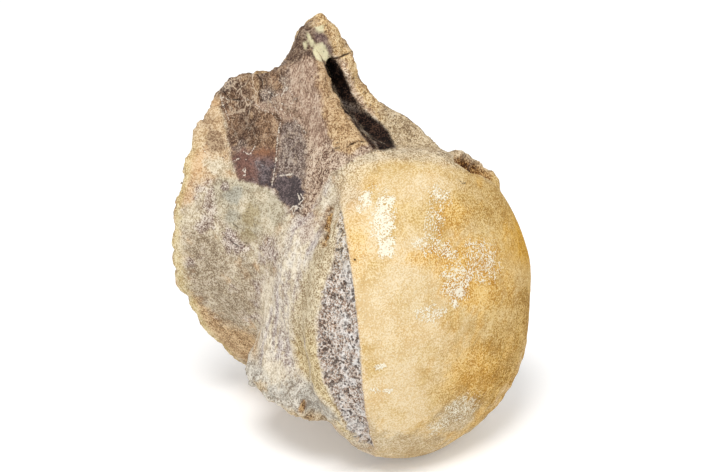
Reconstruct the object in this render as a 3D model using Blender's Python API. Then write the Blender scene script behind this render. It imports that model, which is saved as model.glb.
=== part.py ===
"""Fossil vertebra of a mosasaur, lying on the lower edges of its centrum.

The model is one solid. X runs across the animal, Y along its backbone and Z up.
The hollow front face (cotyle) looks to +Y, the domed rear face (condyle) to -Y.
Sizes are in millimetres and become metres where a vertex is made.
"""

import math

import bmesh
import bpy
from mathutils import Vector, noise

MM = 0.001

# Driving dimensions of the centrum, the spool-shaped body of the bone.
CENTRUM_LENGTH = 56.0
CONDYLE_WIDTH = 72.0
CONDYLE_HEIGHT = 81.5
DOME_HEIGHT = 20.0
DOME_FULLNESS = 2.25
DOME_DROP = 6.0
COTYLE_WIDTH = 65.5
COTYLE_HEIGHT = 87.5
COTYLE_DEPTH = 14.0
CUP_SPREAD = 0.95
CUP_POWER = 0.9
WAIST_WIDTH = 52.0
WAIST_HEIGHT = 75.0

# Driving dimensions of the neural arch on top of it.
CANAL_WIDTH = 10.6
CANAL_FLOOR = 81.0
CANAL_ROOF = 99.0
CANAL_TAPER = 0.62
CANAL_FLARE = 5.0
SPINE_TOP = 109.5

# Mesh: points round a ring, spacing of rings, voxel of the fused solid and the faces kept.
RING_POINTS = 120
RING_STEP = 1.6
DOME_STEPS = 22
CUP_STEPS = 14
WALL_STEP = 1.0
WALL_LEVELS = 10
CANAL_POINTS = 24
CANAL_STEP = 2.0
PROCESS_POINTS = 40
CUT_PAST = 8.0
VOXEL = 1.15
SOFTEN_PASSES = 4
TARGET_TRIANGLES = 9600

# Height at which the lowest edges of the condyle and the cotyle are worn flat.
SETTLE = 0.9

FRONT = CENTRUM_LENGTH / 2
REAR = -CENTRUM_LENGTH / 2


def clamp(value, low=0.0, high=1.0):
    return max(low, min(high, value))


def smooth_step(low, high, value):
    t = clamp((value - low) / (high - low))
    return t * t * (3 - 2 * t)


def signed_power(value, power):
    return math.copysign(abs(value) ** power, value)


def through(knots, position):
    """Value at position of a smooth curve through the (position, value) knots."""
    if position <= knots[0][0]:
        return knots[0][1]
    if position >= knots[-1][0]:
        return knots[-1][1]

    def slope(i):
        before = knots[max(i - 1, 0)]
        after = knots[min(i + 1, len(knots) - 1)]
        return (after[1] - before[1]) / (after[0] - before[0])

    i = max(k for k in range(len(knots) - 1) if knots[k][0] <= position)
    x0, v0 = knots[i]
    x1, v1 = knots[i + 1]
    span = x1 - x0
    t = (position - x0) / span
    return (
        (2 * t**3 - 3 * t**2 + 1) * v0
        + (t**3 - 2 * t**2 + t) * span * slope(i)
        + (3 * t**2 - 2 * t**3) * v1
        + (t**3 - t**2) * span * slope(i + 1)
    )


def straight(knots, position):
    """Value at position of the broken line through the (position, value) knots."""
    if position <= knots[0][0]:
        return knots[0][1]
    for (x0, v0), (x1, v1) in zip(knots, knots[1:]):
        if position <= x1:
            return v0 + (v1 - v0) * (position - x0) / (x1 - x0)
    return knots[-1][1]


# Outline of the centrum at each place along it, from the condyle's margin to the cotyle's rim.
# The powers round the outline off: 2 is an ellipse, less is nearer a diamond.
HALF_WIDTH = [
    (REAR, CONDYLE_WIDTH / 2),
    (REAR + 4, CONDYLE_WIDTH / 2 - 1.5),
    (REAR + 12, WAIST_WIDTH / 2 + 2.5),
    (2.0, WAIST_WIDTH / 2),
    (FRONT - 12, COTYLE_WIDTH / 2 - 3.5),
    (FRONT - 3, COTYLE_WIDTH / 2 - 0.5),
    (FRONT, COTYLE_WIDTH / 2),
]
WAIST_LOWEST = 8.5
LOWEST = [
    (REAR, 0.0),
    (REAR + 5, 1.2),
    (-10.0, 8.0),
    (4.0, WAIST_LOWEST),
    (FRONT - 6, 0.5),
    (FRONT, -1.5),
]
HIGHEST = [
    (REAR, CONDYLE_HEIGHT),
    (-18.0, CONDYLE_HEIGHT - 0.5),
    (0.0, WAIST_LOWEST + WAIST_HEIGHT),
    (FRONT - 6, COTYLE_HEIGHT - 1.5),
    (FRONT, COTYLE_HEIGHT),
]
WIDEST_AT = [(REAR, 41.0), (-8.0, 45.0), (6.0, 50.0), (FRONT, 53.0)]
UPPER_POWER = [(REAR, 2.15), (-6.0, 2.0), (FRONT, 2.1)]
LOWER_POWER = [(REAR, 1.95), (-6.0, 1.8), (FRONT, 1.42)]
RIGHT_SHOULDER = [(REAR, 0.43), (-10.0, 0.0)]
RIGHT_BELLY = [(REAR, 0.95), (-10.0, 0.0), (6.0, 0.0), (FRONT, 0.4)]
LEFT_BELLY = [(REAR, 0.06), (-6.0, 0.0), (FRONT, 0.12)]
KEEL_SHIFT = [(REAR, 0.0), (-6.0, 0.0), (FRONT, 4.5)]

# Blunt ridge down each flank, from the arch to the side process.
PILLAR_AT = -10.0
PILLAR_WIDTH = 7.5
PILLAR_RISE = 3.6
PILLAR_FOOT = (14.0, 26.0)
PILLAR_HEAD = (62.0, 76.0)

# The cotyle's rim is rounded over: (distance behind its face, share of the full outline).
RIM_ROUNDING = [(0.0, 0.975), (0.7, 0.993)]


def outline_point(y, angle):
    """Point of the centrum's outline in the plane at y. Angle 0 is +X and 90 degrees is up."""
    half = through(HALF_WIDTH, y)
    wide = through(WIDEST_AT, y)
    side = math.cos(angle)
    height = math.sin(angle)
    if height >= 0:
        power = through(UPPER_POWER, y) - (through(RIGHT_SHOULDER, y) if side > 0 else 0.0)
        reach = through(HIGHEST, y) - wide
    else:
        belly = RIGHT_BELLY if side > 0 else LEFT_BELLY
        power = through(LOWER_POWER, y) + through(belly, y) * abs(side)
        reach = wide - through(LOWEST, y)
    x = half * signed_power(side, 2 / power)
    z = wide + reach * signed_power(height, 2 / power)
    x += through(KEEL_SHIFT, y) * clamp(-height) ** 3
    across = math.exp(-(((y - PILLAR_AT) / PILLAR_WIDTH) ** 2))
    along = smooth_step(*PILLAR_FOOT, z) * (1 - smooth_step(*PILLAR_HEAD, z))
    return x + math.copysign(PILLAR_RISE * across * along, x), z


def ring(y, outline_y, scale, lift=0.0):
    """Ring of points: the outline at outline_y, scaled about its middle and set at y."""
    centre = (through(HIGHEST, outline_y) + through(LOWEST, outline_y)) / 2
    points = []
    for k in range(RING_POINTS):
        x, z = outline_point(outline_y, 2 * math.pi * k / RING_POINTS)
        points.append(Vector((x * scale, y, centre + lift + (z - centre) * scale)) * MM)
    return points


def new_object(name, mesh, helper=True):
    obj = bpy.data.objects.new(name, mesh)
    bpy.context.scene.collection.objects.link(obj)
    if helper:
        obj.hide_render = True
        obj.display_type = "WIRE"
    return obj


def loft(name, rings, start=None, end=None):
    """Closed solid through rings of points, closed by a point or a flat face at each end."""
    bm = bmesh.new()
    loops = [[bm.verts.new(p) for p in points] for points in rings]
    count = len(loops[0])
    for low, high in zip(loops, loops[1:]):
        for k in range(count):
            n = (k + 1) % count
            bm.faces.new((low[k], low[n], high[n], high[k]))
    for loop, tip, turned in ((loops[0], start, True), (loops[-1], end, False)):
        if tip is None:
            bm.faces.new(loop[::-1] if turned else loop)
            continue
        point = bm.verts.new(tip)
        for k in range(count):
            n = (k + 1) % count
            bm.faces.new((loop[n], loop[k], point) if turned else (loop[k], loop[n], point))
    bmesh.ops.recalc_face_normals(bm, faces=bm.faces)
    mesh = bpy.data.meshes.new(name)
    bm.to_mesh(mesh)
    bm.free()
    return new_object(name, mesh)


def centrum():
    """The body of the bone without its cup: front face, waist, margin and dome."""
    rings = [ring(FRONT - behind, FRONT, share) for behind, share in RIM_ROUNDING]
    count = round(CENTRUM_LENGTH / RING_STEP)
    for k in range(1, count + 1):
        y = FRONT - CENTRUM_LENGTH * k / count
        rings.append(ring(y, y, 1.0))
    for k in range(1, DOME_STEPS):
        angle = math.pi / 2 * k / DOME_STEPS
        share = math.cos(angle) ** (2 / DOME_FULLNESS)
        y = REAR - DOME_HEIGHT * math.sin(angle) ** (2 / DOME_FULLNESS)
        rings.append(ring(y, REAR, share, lift=-DOME_DROP * (1 - share)))
    middle = Vector((0, FRONT, COTYLE_HEIGHT / 2)) * MM
    apex = Vector((0, REAR - DOME_HEIGHT, CONDYLE_HEIGHT / 2 - DOME_DROP)) * MM
    return loft("centrum", rings, start=middle, end=apex)


def cup():
    """Cutter for the hollow front face."""
    rings = []
    for k in range(1, CUP_STEPS + 1):
        share = k / CUP_STEPS
        y = FRONT - COTYLE_DEPTH * (1 - share**2) ** CUP_POWER
        rings.append(ring(y, FRONT, share * CUP_SPREAD))
    rings.append(ring(FRONT + CUT_PAST, FRONT, 1.0))
    bottom = Vector((0, FRONT - COTYLE_DEPTH, COTYLE_HEIGHT / 2)) * MM
    return loft("cup", rings, start=bottom)


# Broken upper edges of the arch, as (y, z).
NEAR_EDGE = [
    (-26.0, 77.0),
    (-23.0, 81.0),
    (-20.0, 84.5),
    (-17.0, 87.0),
    (-12.5, 90.8),
    (-8.5, 94.0),
    (-6.0, 97.5),
    (-4.0, 100.5),
    (-2.0, 102.5),
    (0.5, 103.6),
    (3.0, 102.0),
    (5.5, 100.3),
    (8.0, 98.8),
    (11.0, 96.8),
    (15.0, 93.6),
    (18.0, 92.8),
    (21.0, 91.6),
    (23.5, 91.6),
    (27.0, 90.6),
    (28.6, 88.2),
    (29.4, 82.0),
]
FAR_EDGE = [
    (-27.0, 76.0),
    (-23.0, 79.5),
    (-20.0, 81.5),
    (-17.0, 83.5),
    (-13.0, 84.8),
    (-9.0, 85.5),
    (-5.0, 86.5),
    (-2.0, 89.0),
    (-0.5, 93.0),
    (1.5, 96.5),
    (4.0, 99.5),
    (8.0, 101.5),
    (12.0, 99.0),
    (16.0, 95.0),
    (20.0, 91.0),
    (24.0, 87.0),
    (28.5, 80.0),
]
SPINE_EDGE = [
    (0.0, 96.0),
    (1.0, 99.0),
    (2.4, 101.8),
    (4.0, 104.5),
    (5.4, 107.5),
    (6.8, SPINE_TOP),
    (8.4, 107.5),
    (10.0, 106.0),
    (11.8, 103.4),
    (13.6, 100.4),
    (15.4, 96.0),
]

# Outer faces of the two walls, as (z, distance from the middle plane).
NEAR_FACE = [(66.0, 20.0), (72.0, 19.0), (80.0, 16.2), (88.0, 13.8), (96.0, 11.6), (104.0, 9.4)]
FAR_FACE = [(66.0, 19.5), (72.0, 18.5), (80.0, 14.0), (88.0, 10.5), (96.0, 8.5), (104.0, 6.5)]
WALL_FOOT = 66.0
WALL_CORE = 84.0
WALL_OVERLAP = 0.5
WALL_PINCH = 0.12
EDGE_THICKNESS = 2.8
EDGE_LEAST = 1.2
EDGE_BEVEL = 0.93

# Section of the spine's stub, as (x, depth below its top). Its foot is at SPINE_FOOT.
SPINE_SECTION = [(-5.6, 5.0), (-2.0, 1.2), (1.5, 0.0), (4.8, 0.8), (7.0, 5.0)]
SPINE_SIDES = (-7.5, 9.0)
SPINE_FOOT = 88.0


def wall(name, edge, face, side):
    """One wall of the arch, from its foot inside the centrum up to its broken edge."""
    rings = []
    first = edge[0][0]
    last = edge[-1][0]
    count = round((last - first) / WALL_STEP)
    for k in range(count + 1):
        y = first + (last - first) * k / count
        top = straight(edge, y)
        pinch = 1.0 - WALL_PINCH * clamp(y / REAR) ** 3
        points = []
        for n in range(WALL_LEVELS + 1):
            z = WALL_FOOT + (top - WALL_FOOT) * n / WALL_LEVELS
            points.append((side * through(face, z) * pinch, z))
        points[-1] = (points[-1][0] * EDGE_BEVEL, top - 0.3)
        points.append((side * max(through(face, top) - EDGE_THICKNESS, EDGE_LEAST), top))
        points.append((-side * WALL_OVERLAP, min(top, WALL_CORE) - 3))
        points.append((-side * WALL_OVERLAP, WALL_FOOT))
        rings.append([Vector((x, y, z)) * MM for x, z in points])
    return loft(name, rings)


def spine_base():
    """Stub of the broken neural spine, where the two walls meet."""
    rings = []
    first = SPINE_EDGE[0][0]
    last = SPINE_EDGE[-1][0]
    count = round((last - first) / WALL_STEP)
    for k in range(count + 1):
        y = first + (last - first) * k / count
        top = straight(SPINE_EDGE, y)
        points = [(SPINE_SIDES[0], SPINE_FOOT)]
        points += [(x, top - below) for x, below in SPINE_SECTION]
        points.append((SPINE_SIDES[1], SPINE_FOOT))
        rings.append([Vector((x, y, z)) * MM for x, z in points])
    return loft("spine_base", rings)


def canal():
    """Cutter for the neural canal, open at both ends, wide at its floor and narrow at its roof."""
    rings = []
    reach = FRONT + CUT_PAST
    count = round(2 * reach / CANAL_STEP)
    for k in range(count + 1):
        y = -reach + 2 * reach * k / count
        floor = CANAL_FLOOR + CANAL_FLARE * smooth_step(16.0, 29.0, abs(y))
        points = []
        for n in range(CANAL_POINTS):
            angle = 2 * math.pi * n / CANAL_POINTS
            rise = (1 + math.sin(angle)) / 2
            width = CANAL_WIDTH / 2 * (1 - CANAL_TAPER * rise**1.3)
            z = floor + (CANAL_ROOF - floor) * rise
            points.append(Vector((math.cos(angle) * width, y, z)) * MM)
        rings.append(points)
    return loft("canal", rings)


# Side process: at each height its reach from the middle and half its length from front to back.
PROCESS_REACH = [(15.9, 28.0), (19.2, 32.9), (25.0, 32.5), (34.0, 30.4), (44.0, 28.6), (54.0, 22.0)]
PROCESS_HALF = [(15.9, 14.8), (19.2, 16.9), (25.0, 15.4), (34.0, 12.2), (44.0, 10.0), (54.0, 8.0)]
PROCESS_ROOT = 12.0
PROCESS_MIDDLE = -9.0
PROCESS_SLOPE = 0.19
PROCESS_STUB = (20.0, 42.0)
FAR_PROCESS_LONGER = 4.0


def process(side, longer):
    """Broken base of a side process: a ridge down the flank that widens to a break."""
    rings = []
    bottom = PROCESS_REACH[0][0]
    top = PROCESS_REACH[-1][0]
    count = round((top - bottom) / RING_STEP)
    for k in range(count + 1):
        height = bottom + (top - bottom) * k / count
        stub = 1 - smooth_step(*PROCESS_STUB, height)
        reach = through(PROCESS_REACH, height) - PROCESS_ROOT + longer * stub
        half = through(PROCESS_HALF, height)
        points = []
        for n in range(PROCESS_POINTS):
            angle = 2 * math.pi * n / PROCESS_POINTS
            x = side * (PROCESS_ROOT + reach * signed_power(math.cos(angle), 0.85))
            y = PROCESS_MIDDLE + half * signed_power(math.sin(angle), 0.7)
            z = height + PROCESS_SLOPE * (y - PROCESS_MIDDLE) * stub
            points.append(Vector((x, y, z)) * MM)
        rings.append(points)
    return loft("process", rings)


def combine(base, other, operation, solver):
    modifier = base.modifiers.new(other.name, "BOOLEAN")
    modifier.operation = operation
    modifier.object = other
    modifier.solver = solver


def evaluated_mesh(obj):
    graph = bpy.context.evaluated_depsgraph_get()
    return bpy.data.meshes.new_from_object(obj.evaluated_get(graph))


def fused_bone():
    """All the forms joined in one even mesh."""
    base = centrum()
    joined = [
        wall("near_wall", NEAR_EDGE, NEAR_FACE, -1),
        wall("far_wall", FAR_EDGE, FAR_FACE, 1),
        spine_base(),
        process(-1, 0.0),
        process(1, FAR_PROCESS_LONGER),
    ]
    for other in joined:
        combine(base, other, "UNION", "MANIFOLD")
    for cutter in (canal(), cup()):
        combine(base, cutter, "DIFFERENCE", "MANIFOLD")
    remesh = base.modifiers.new("even", "REMESH")
    remesh.mode = "VOXEL"
    remesh.voxel_size = VOXEL * MM
    soften = base.modifiers.new("soften", "SMOOTH")
    soften.factor = 0.5
    soften.iterations = SOFTEN_PASSES
    return evaluated_mesh(base)


# Crescent of the condyle's near edge where the joint surface has worn off, as (z, y).
WORN_INNER = [
    (8.0, -33.5),
    (16.0, -36.4),
    (26.0, -37.6),
    (35.0, -38.0),
    (50.0, -36.8),
    (58.0, -35.3),
    (66.0, -31.0),
]
WORN_OUTER = [
    (8.0, -33.0),
    (19.0, -33.0),
    (28.0, -31.8),
    (34.0, -29.8),
    (49.0, -27.7),
    (58.0, -28.1),
    (66.0, -30.0),
]
WORN_DEPTH = 1.7

# Pits and hollows, as (centre, radius, depth).
HOLLOWS = [
    ((-26.0, 4.0, 56.0), 4.0, 1.3),
    ((-27.0, 9.0, 50.0), 2.6, 0.9),
    ((-24.5, -17.0, 66.5), 2.4, 1.2),
    ((10.0, -31.0, 77.5), 3.4, 2.0),
    ((14.0, -32.0, 75.5), 4.2, 2.4),
    ((19.0, -31.5, 73.0), 3.4, 1.6),
    ((-31.0, -15.0, 20.5), 2.6, 1.2),
    ((27.0, 6.0, 48.0), 4.5, 1.4),
    ((24.0, -2.0, 60.0), 3.0, 1.0),
    ((6.0, 18.0, 46.0), 5.0, 1.2),
]
HOLLOW_RAGGED = 0.55
HOLLOW_GRAIN = 2.6

# Unevenness of the surface: broad lumps, and small chips that are strongest on broken edges.
LUMP_SIZE = 11.0
LUMP_RISE = 0.9
LUMP_ON_DOME = 0.35
CHIP_SIZE = 3.6
CHIP_RISE = 0.8
CHIP_ANYWHERE = 0.28
CHIP_ON_BREAKS = 0.9
CHIP_ON_DOME = 0.2
LUMP_PHASE = Vector((3.1, 7.7, 1.3))
CHIP_PHASE = Vector((9.2, 2.4, 5.8))


def dome_share(point):
    """1 on the joint surface of the condyle and 0 in front of its margin."""
    return 1 - smooth_step(REAR - 2.0, REAR + 1.0, point.y)


def broken_share(point):
    """1 on broken edges: the top of the arch, the ends of the processes and the cotyle's rim."""
    arch = smooth_step(86.0, 92.0, point.z)
    low = 1 - smooth_step(17.0, 26.0, point.z)
    stump = low * smooth_step(24.0, 28.0, abs(point.x)) * (1 - dome_share(point))
    rim = smooth_step(FRONT - 3.5, FRONT - 1.0, point.y)
    return max(arch, stump, rim)


def worn_share(point):
    """1 in the crescent where the condyle's joint surface has worn off."""
    if point.x > 0 or not WORN_INNER[0][0] < point.z < WORN_INNER[-1][0]:
        return 0.0
    inner = through(WORN_INNER, point.z)
    outer = through(WORN_OUTER, point.z)
    past_inner = smooth_step(inner - 0.4, inner + 0.8, point.y)
    return past_inner * (1 - smooth_step(outer - 1.0, outer + 1.6, point.y))


def relief(point):
    """How far, in millimetres, the surface at point stands out from the plain form."""
    dome = dome_share(point)
    lumps = noise.noise(point / LUMP_SIZE + LUMP_PHASE)
    chips = noise.noise(point / CHIP_SIZE + CHIP_PHASE)
    roughness = CHIP_ANYWHERE + CHIP_ON_BREAKS * broken_share(point)
    rise = LUMP_RISE * lumps * (1 - (1 - LUMP_ON_DOME) * dome)
    rise += CHIP_RISE * chips * roughness * (1 - (1 - CHIP_ON_DOME) * dome)
    rise -= WORN_DEPTH * worn_share(point)
    for centre, radius, depth in HOLLOWS:
        ragged = HOLLOW_RAGGED * noise.noise(point / HOLLOW_GRAIN + Vector(centre))
        distance = (point - Vector(centre)).length / radius + ragged
        rise -= depth * (1 - smooth_step(0.2, 1.25, distance))
    return rise


def carve(mesh):
    """Moves each point of the mesh along its normal by the relief."""
    normals = [v.normal.copy() for v in mesh.vertices]
    for vertex, normal in zip(mesh.vertices, normals):
        vertex.co += normal * relief(vertex.co / MM) * MM


def resting_place(obj):
    """Location that puts the bone's middle over the origin and its worn flats at height 0."""
    bpy.context.view_layer.update()
    points = [v.co for v in evaluated_mesh(obj).vertices]
    middle = [(max(p[k] for p in points) + min(p[k] for p in points)) / 2 for k in (0, 1)]
    return Vector((-middle[0], -middle[1], -SETTLE * MM))


GROUND_SIZE = 200.0
GROUND_DEPTH = 40.0


def ground_cutter():
    """Block below the resting plane, which leaves small worn flats where the bone touches it."""
    bm = bmesh.new()
    bmesh.ops.create_cube(bm, size=1.0)
    size = Vector((GROUND_SIZE, GROUND_SIZE, GROUND_DEPTH))
    bmesh.ops.scale(bm, vec=size * MM, verts=bm.verts)
    bmesh.ops.translate(bm, vec=Vector((0, 0, -GROUND_DEPTH / 2)) * MM, verts=bm.verts)
    mesh = bpy.data.meshes.new("ground")
    bm.to_mesh(mesh)
    bm.free()
    return new_object("ground", mesh)


def bone_material():
    material = bpy.data.materials.new("fossil_bone")
    material.use_nodes = True
    shader = material.node_tree.nodes["Principled BSDF"]
    shader.inputs["Base Color"].default_value = (0.56, 0.42, 0.25, 1)
    shader.inputs["Roughness"].default_value = 0.8
    shader.inputs["Metallic"].default_value = 0.0
    return material


def clear_scene():
    for obj in list(bpy.data.objects):
        bpy.data.objects.remove(obj)


def main():
    clear_scene()
    mesh = fused_bone()
    clear_scene()
    carve(mesh)
    mesh.name = "vertebra"
    mesh.materials.clear()
    mesh.materials.append(bone_material())
    vertebra = new_object("vertebra", mesh, helper=False)
    faces = sum(len(p.vertices) - 2 for p in mesh.polygons)
    thin = vertebra.modifiers.new("thin", "DECIMATE")
    thin.ratio = TARGET_TRIANGLES / faces
    thin.use_collapse_triangulate = True
    vertebra.location = resting_place(vertebra)
    combine(vertebra, ground_cutter(), "DIFFERENCE", "EXACT")


main()
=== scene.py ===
"""Fossil mosasaur vertebra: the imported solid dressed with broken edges, spongy bone and stained stone.

Lengths are in millimetres until a vertex is stored. Marks on the side that the camera sees are placed by
named outlines in its 708 x 472 frame, and the other sides follow rules in the bone's own axes.
"""

import math

import bmesh
import bpy
import numpy as np
from mathutils import Matrix, Vector
from mathutils.bvhtree import BVHTree


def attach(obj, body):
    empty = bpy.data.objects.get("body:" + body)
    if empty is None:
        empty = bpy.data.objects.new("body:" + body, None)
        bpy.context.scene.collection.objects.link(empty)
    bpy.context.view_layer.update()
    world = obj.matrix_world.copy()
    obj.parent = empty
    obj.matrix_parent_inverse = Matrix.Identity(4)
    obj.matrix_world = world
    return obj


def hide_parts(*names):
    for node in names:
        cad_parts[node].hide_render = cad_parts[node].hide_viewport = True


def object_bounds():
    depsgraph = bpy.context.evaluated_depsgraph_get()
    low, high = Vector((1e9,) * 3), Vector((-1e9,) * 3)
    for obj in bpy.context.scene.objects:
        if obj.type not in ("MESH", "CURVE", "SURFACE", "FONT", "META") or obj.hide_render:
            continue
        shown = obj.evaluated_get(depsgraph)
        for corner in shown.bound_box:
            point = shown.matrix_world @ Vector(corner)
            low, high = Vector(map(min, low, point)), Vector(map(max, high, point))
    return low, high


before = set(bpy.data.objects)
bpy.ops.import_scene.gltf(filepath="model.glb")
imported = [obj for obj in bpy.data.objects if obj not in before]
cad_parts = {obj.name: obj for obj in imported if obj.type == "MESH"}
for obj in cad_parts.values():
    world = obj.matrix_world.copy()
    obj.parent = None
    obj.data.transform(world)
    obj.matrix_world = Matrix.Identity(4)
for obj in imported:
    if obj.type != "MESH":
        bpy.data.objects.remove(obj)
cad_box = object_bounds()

MM = 0.001
MM_PER_METRE = 1000

# Camera: turned and raised as the photograph's. The bone's anchor point falls on a named pixel.
FRAME_WIDTH = 708
FRAME_HEIGHT = 472
CAMERA_TURN = math.radians(-46)
CAMERA_RISE = math.radians(24)
CAMERA_DISTANCE = 600
PIXELS_PER_MM = 4
FOCAL_PIXELS = PIXELS_PER_MM * CAMERA_DISTANCE
SENSOR = 36
ANCHOR = np.array((-0.78, -18.52, 40.1))
ANCHOR_PIXEL = (416, 303)


def direction(turn, rise):
    """Unit vector towards a camera or lamp that is turned from -Y and raised by these angles."""
    return np.array((math.sin(turn) * math.cos(rise), -math.cos(turn) * math.cos(rise), math.sin(rise)))


BACK = direction(CAMERA_TURN, CAMERA_RISE)
RIGHT = np.array((math.cos(CAMERA_TURN), math.sin(CAMERA_TURN), 0))
UP = np.cross(BACK, RIGHT)
EYE = (
    ANCHOR
    + BACK * CAMERA_DISTANCE
    - RIGHT * (ANCHOR_PIXEL[0] - FRAME_WIDTH / 2) / PIXELS_PER_MM
    + UP * (ANCHOR_PIXEL[1] - FRAME_HEIGHT / 2) / PIXELS_PER_MM
)

# Where the origin of the solid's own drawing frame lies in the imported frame. Its axes are the same.
DESIGN_ORIGIN = np.array((-0.78, 9.48, -0.9))


def pixel_of(points):
    """Where points fall in the photograph's frame."""
    away = points - EYE
    depth = -(away @ BACK)
    x = FRAME_WIDTH / 2 + FOCAL_PIXELS * (away @ RIGHT) / depth
    y = FRAME_HEIGHT / 2 - FOCAL_PIXELS * (away @ UP) / depth
    return np.stack([x, y], axis=1)


def facing_of(points, directions):
    """Cosine of the angle between each direction and the line from its point to the camera."""
    to_eye = EYE - points
    to_eye /= np.linalg.norm(to_eye, axis=1, keepdims=True)
    return (directions * to_eye).sum(axis=1)


# ---------------- noise and shaping

NOISE_GAIN = 1.6
OCTAVE_SEEDS = 11
FAR = 9.0


def step(low, high, value):
    """0 at low and 1 at high, smooth between them, whichever is the larger."""
    t = np.clip((value - low) / (high - low), 0, 1)
    return t * t * (3 - 2 * t)


def hashed(ix, iy, iz, seed):
    """Repeatable numbers from 0 to 1 for the points of an integer lattice."""
    h = (ix * 374761393 + iy * 668265263 + iz * 1440662683 + seed * 1013904223) & 0xFFFFFFFF
    h = ((h ^ (h >> 13)) * 1274126177) & 0xFFFFFFFF
    h = ((h ^ (h >> 15)) * 2246822519) & 0xFFFFFFFF
    return ((h ^ (h >> 16)) & 0xFFFFFF) / float(0x1000000)


def noise(points, size, seed):
    """Gradient noise from about -1 to 1, with lumps of the given size."""
    p = points / size + seed * 0.37
    cell = np.floor(p).astype(np.int64)
    f = p - cell
    u = f * f * f * (f * (f * 6 - 15) + 10)
    total = np.zeros(len(points))
    for corner in range(8):
        d = (corner & 1, corner >> 1 & 1, corner >> 2 & 1)
        weight = np.ones(len(points))
        slope = np.zeros(len(points))
        ix, iy, iz = (cell[:, k] + d[k] for k in range(3))
        for k in range(3):
            weight = weight * (u[:, k] if d[k] else 1 - u[:, k])
            slope = slope + (hashed(ix, iy, iz, seed * 7 + k) * 2 - 1) * (f[:, k] - d[k])
        total += weight * slope
    return total * NOISE_GAIN


def fractal(points, size, seed, octaves=3, fade=0.5):
    """Noise with finer and weaker octaves added."""
    total = np.zeros(len(points))
    for k in range(octaves):
        total += fade**k * noise(points, size / 2**k, seed + OCTAVE_SEEDS * k)
    return total


def cells(points, size, seed):
    """Distances to the nearest and second nearest seed point, in cell sizes, and the cell's own number."""
    p = points / size
    base = np.floor(p).astype(np.int64)
    first = np.full(len(points), FAR)
    second = np.full(len(points), FAR)
    own = np.zeros(len(points))
    for offset in np.ndindex(3, 3, 3):
        ix, iy, iz = (base[:, k] + offset[k] - 1 for k in range(3))
        d2 = np.zeros(len(points))
        for k, i in enumerate((ix, iy, iz)):
            d2 = d2 + (i + hashed(ix, iy, iz, seed * 5 + k) - p[:, k]) ** 2
        d = np.sqrt(d2)
        nearer = d < first
        second = np.where(nearer, first, np.minimum(second, d))
        own = np.where(nearer, hashed(ix, iy, iz, seed * 5 + 3), own)
        first = np.where(nearer, d, first)
    return first, second, own


def distance_to_line(line, q):
    """Distance from each point q to a broken line, both in the plane or both in space."""
    best = np.full(len(q), np.inf)
    for a, b in zip(line, line[1:]):
        a, b = np.array(a, float), np.array(b, float)
        span = b - a
        t = np.clip(((q - a) @ span) / (span @ span), 0, 1)
        best = np.minimum(best, np.linalg.norm(q - a - t[:, None] * span, axis=1))
    return best


def depth_in(outline, q):
    """Distance in pixels from each point q to a closed outline, positive inside it."""
    inside = np.zeros(len(q), bool)
    for (x0, y0), (x1, y1) in zip(outline, outline[1:] + outline[:1]):
        if y0 == y1:
            continue
        crosses = (y0 > q[:, 1]) != (y1 > q[:, 1])
        at = x0 + (x1 - x0) * (q[:, 1] - y0) / (y1 - y0)
        inside ^= crosses & (q[:, 0] < at)
    d = distance_to_line(outline + outline[:1], q)
    return np.where(inside, d, -d)


# ---------------- surfaces of the fossil

def srgb(r, g, b):
    """Linear colour from 0-255 display values."""
    c = np.array((r, g, b)) / 255
    return np.where(c <= 0.04045, c / 12.92, ((c + 0.055) / 1.055) ** 2.4)


def kind(mean, pale, deep, grain):
    """Ten numbers: a surface's colour, those of its light and dark grains, and the grains' strength."""
    return np.concatenate([srgb(*mean), srgb(*pale), srgb(*deep), [grain]])


FLANK = kind((186, 169, 144), (226, 214, 192), (130, 110, 86), 0.7)
FLANK_GREY = kind((168, 151, 126), (210, 196, 174), (108, 90, 70), 0.75)
FLANK_CREAM = kind((208, 194, 166), (234, 224, 204), (158, 138, 110), 0.65)
MARGIN_TAN = kind((206, 173, 132), (230, 208, 172), (158, 122, 84), 0.65)
SPOTTED_BROWN = kind((146, 120, 94), (196, 172, 140), (94, 70, 52), 0.65)
ORANGE_BLUSH = kind((206, 168, 124), (230, 202, 164), (160, 118, 78), 0.6)
RIM_BROWN = kind((192, 157, 114), (230, 202, 160), (120, 88, 56), 0.85)
RIM_YELLOW = kind((216, 196, 144), (238, 224, 186), (166, 134, 84), 0.75)
LILAC_SPOTS = kind((178, 160, 150), (226, 214, 202), (98, 76, 70), 1)
PILLAR = kind((204, 192, 176), (240, 232, 218), (140, 122, 112), 0.85)
PILLAR_LILAC = kind((184, 171, 164), (226, 217, 208), (122, 104, 100), 0.85)
PILLAR_CREAM = kind((220, 206, 180), (242, 232, 212), (170, 150, 122), 0.7)
GREEN = kind((182, 171, 146), (210, 201, 178), (132, 118, 95), 0.7)
GREEN_BLUE = kind((160, 156, 141), (188, 183, 168), (120, 112, 98), 0.6)
GREEN_OLIVE = kind((164, 148, 114), (190, 176, 144), (124, 106, 74), 0.55)
TAN = kind((200, 182, 150), (232, 220, 190), (136, 112, 78), 0.85)
TAN_YELLOW = kind((204, 182, 138), (234, 218, 178), (140, 112, 66), 0.85)
PIT_BROWN = kind((132, 90, 46), (200, 162, 108), (62, 36, 18), 1)
STUMP = kind((192, 184, 170), (230, 224, 212), (132, 118, 102), 0.8)
STUMP_BLUE = kind((180, 175, 164), (214, 208, 196), (124, 112, 98), 0.7)
STUMP_TAN = kind((196, 172, 134), (228, 208, 174), (126, 98, 64), 0.8)
ARCH = kind((126, 101, 82), (184, 158, 130), (72, 52, 42), 0.85)
ARCH_DEEP = kind((98, 75, 60), (140, 114, 92), (56, 40, 32), 0.8)
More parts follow.
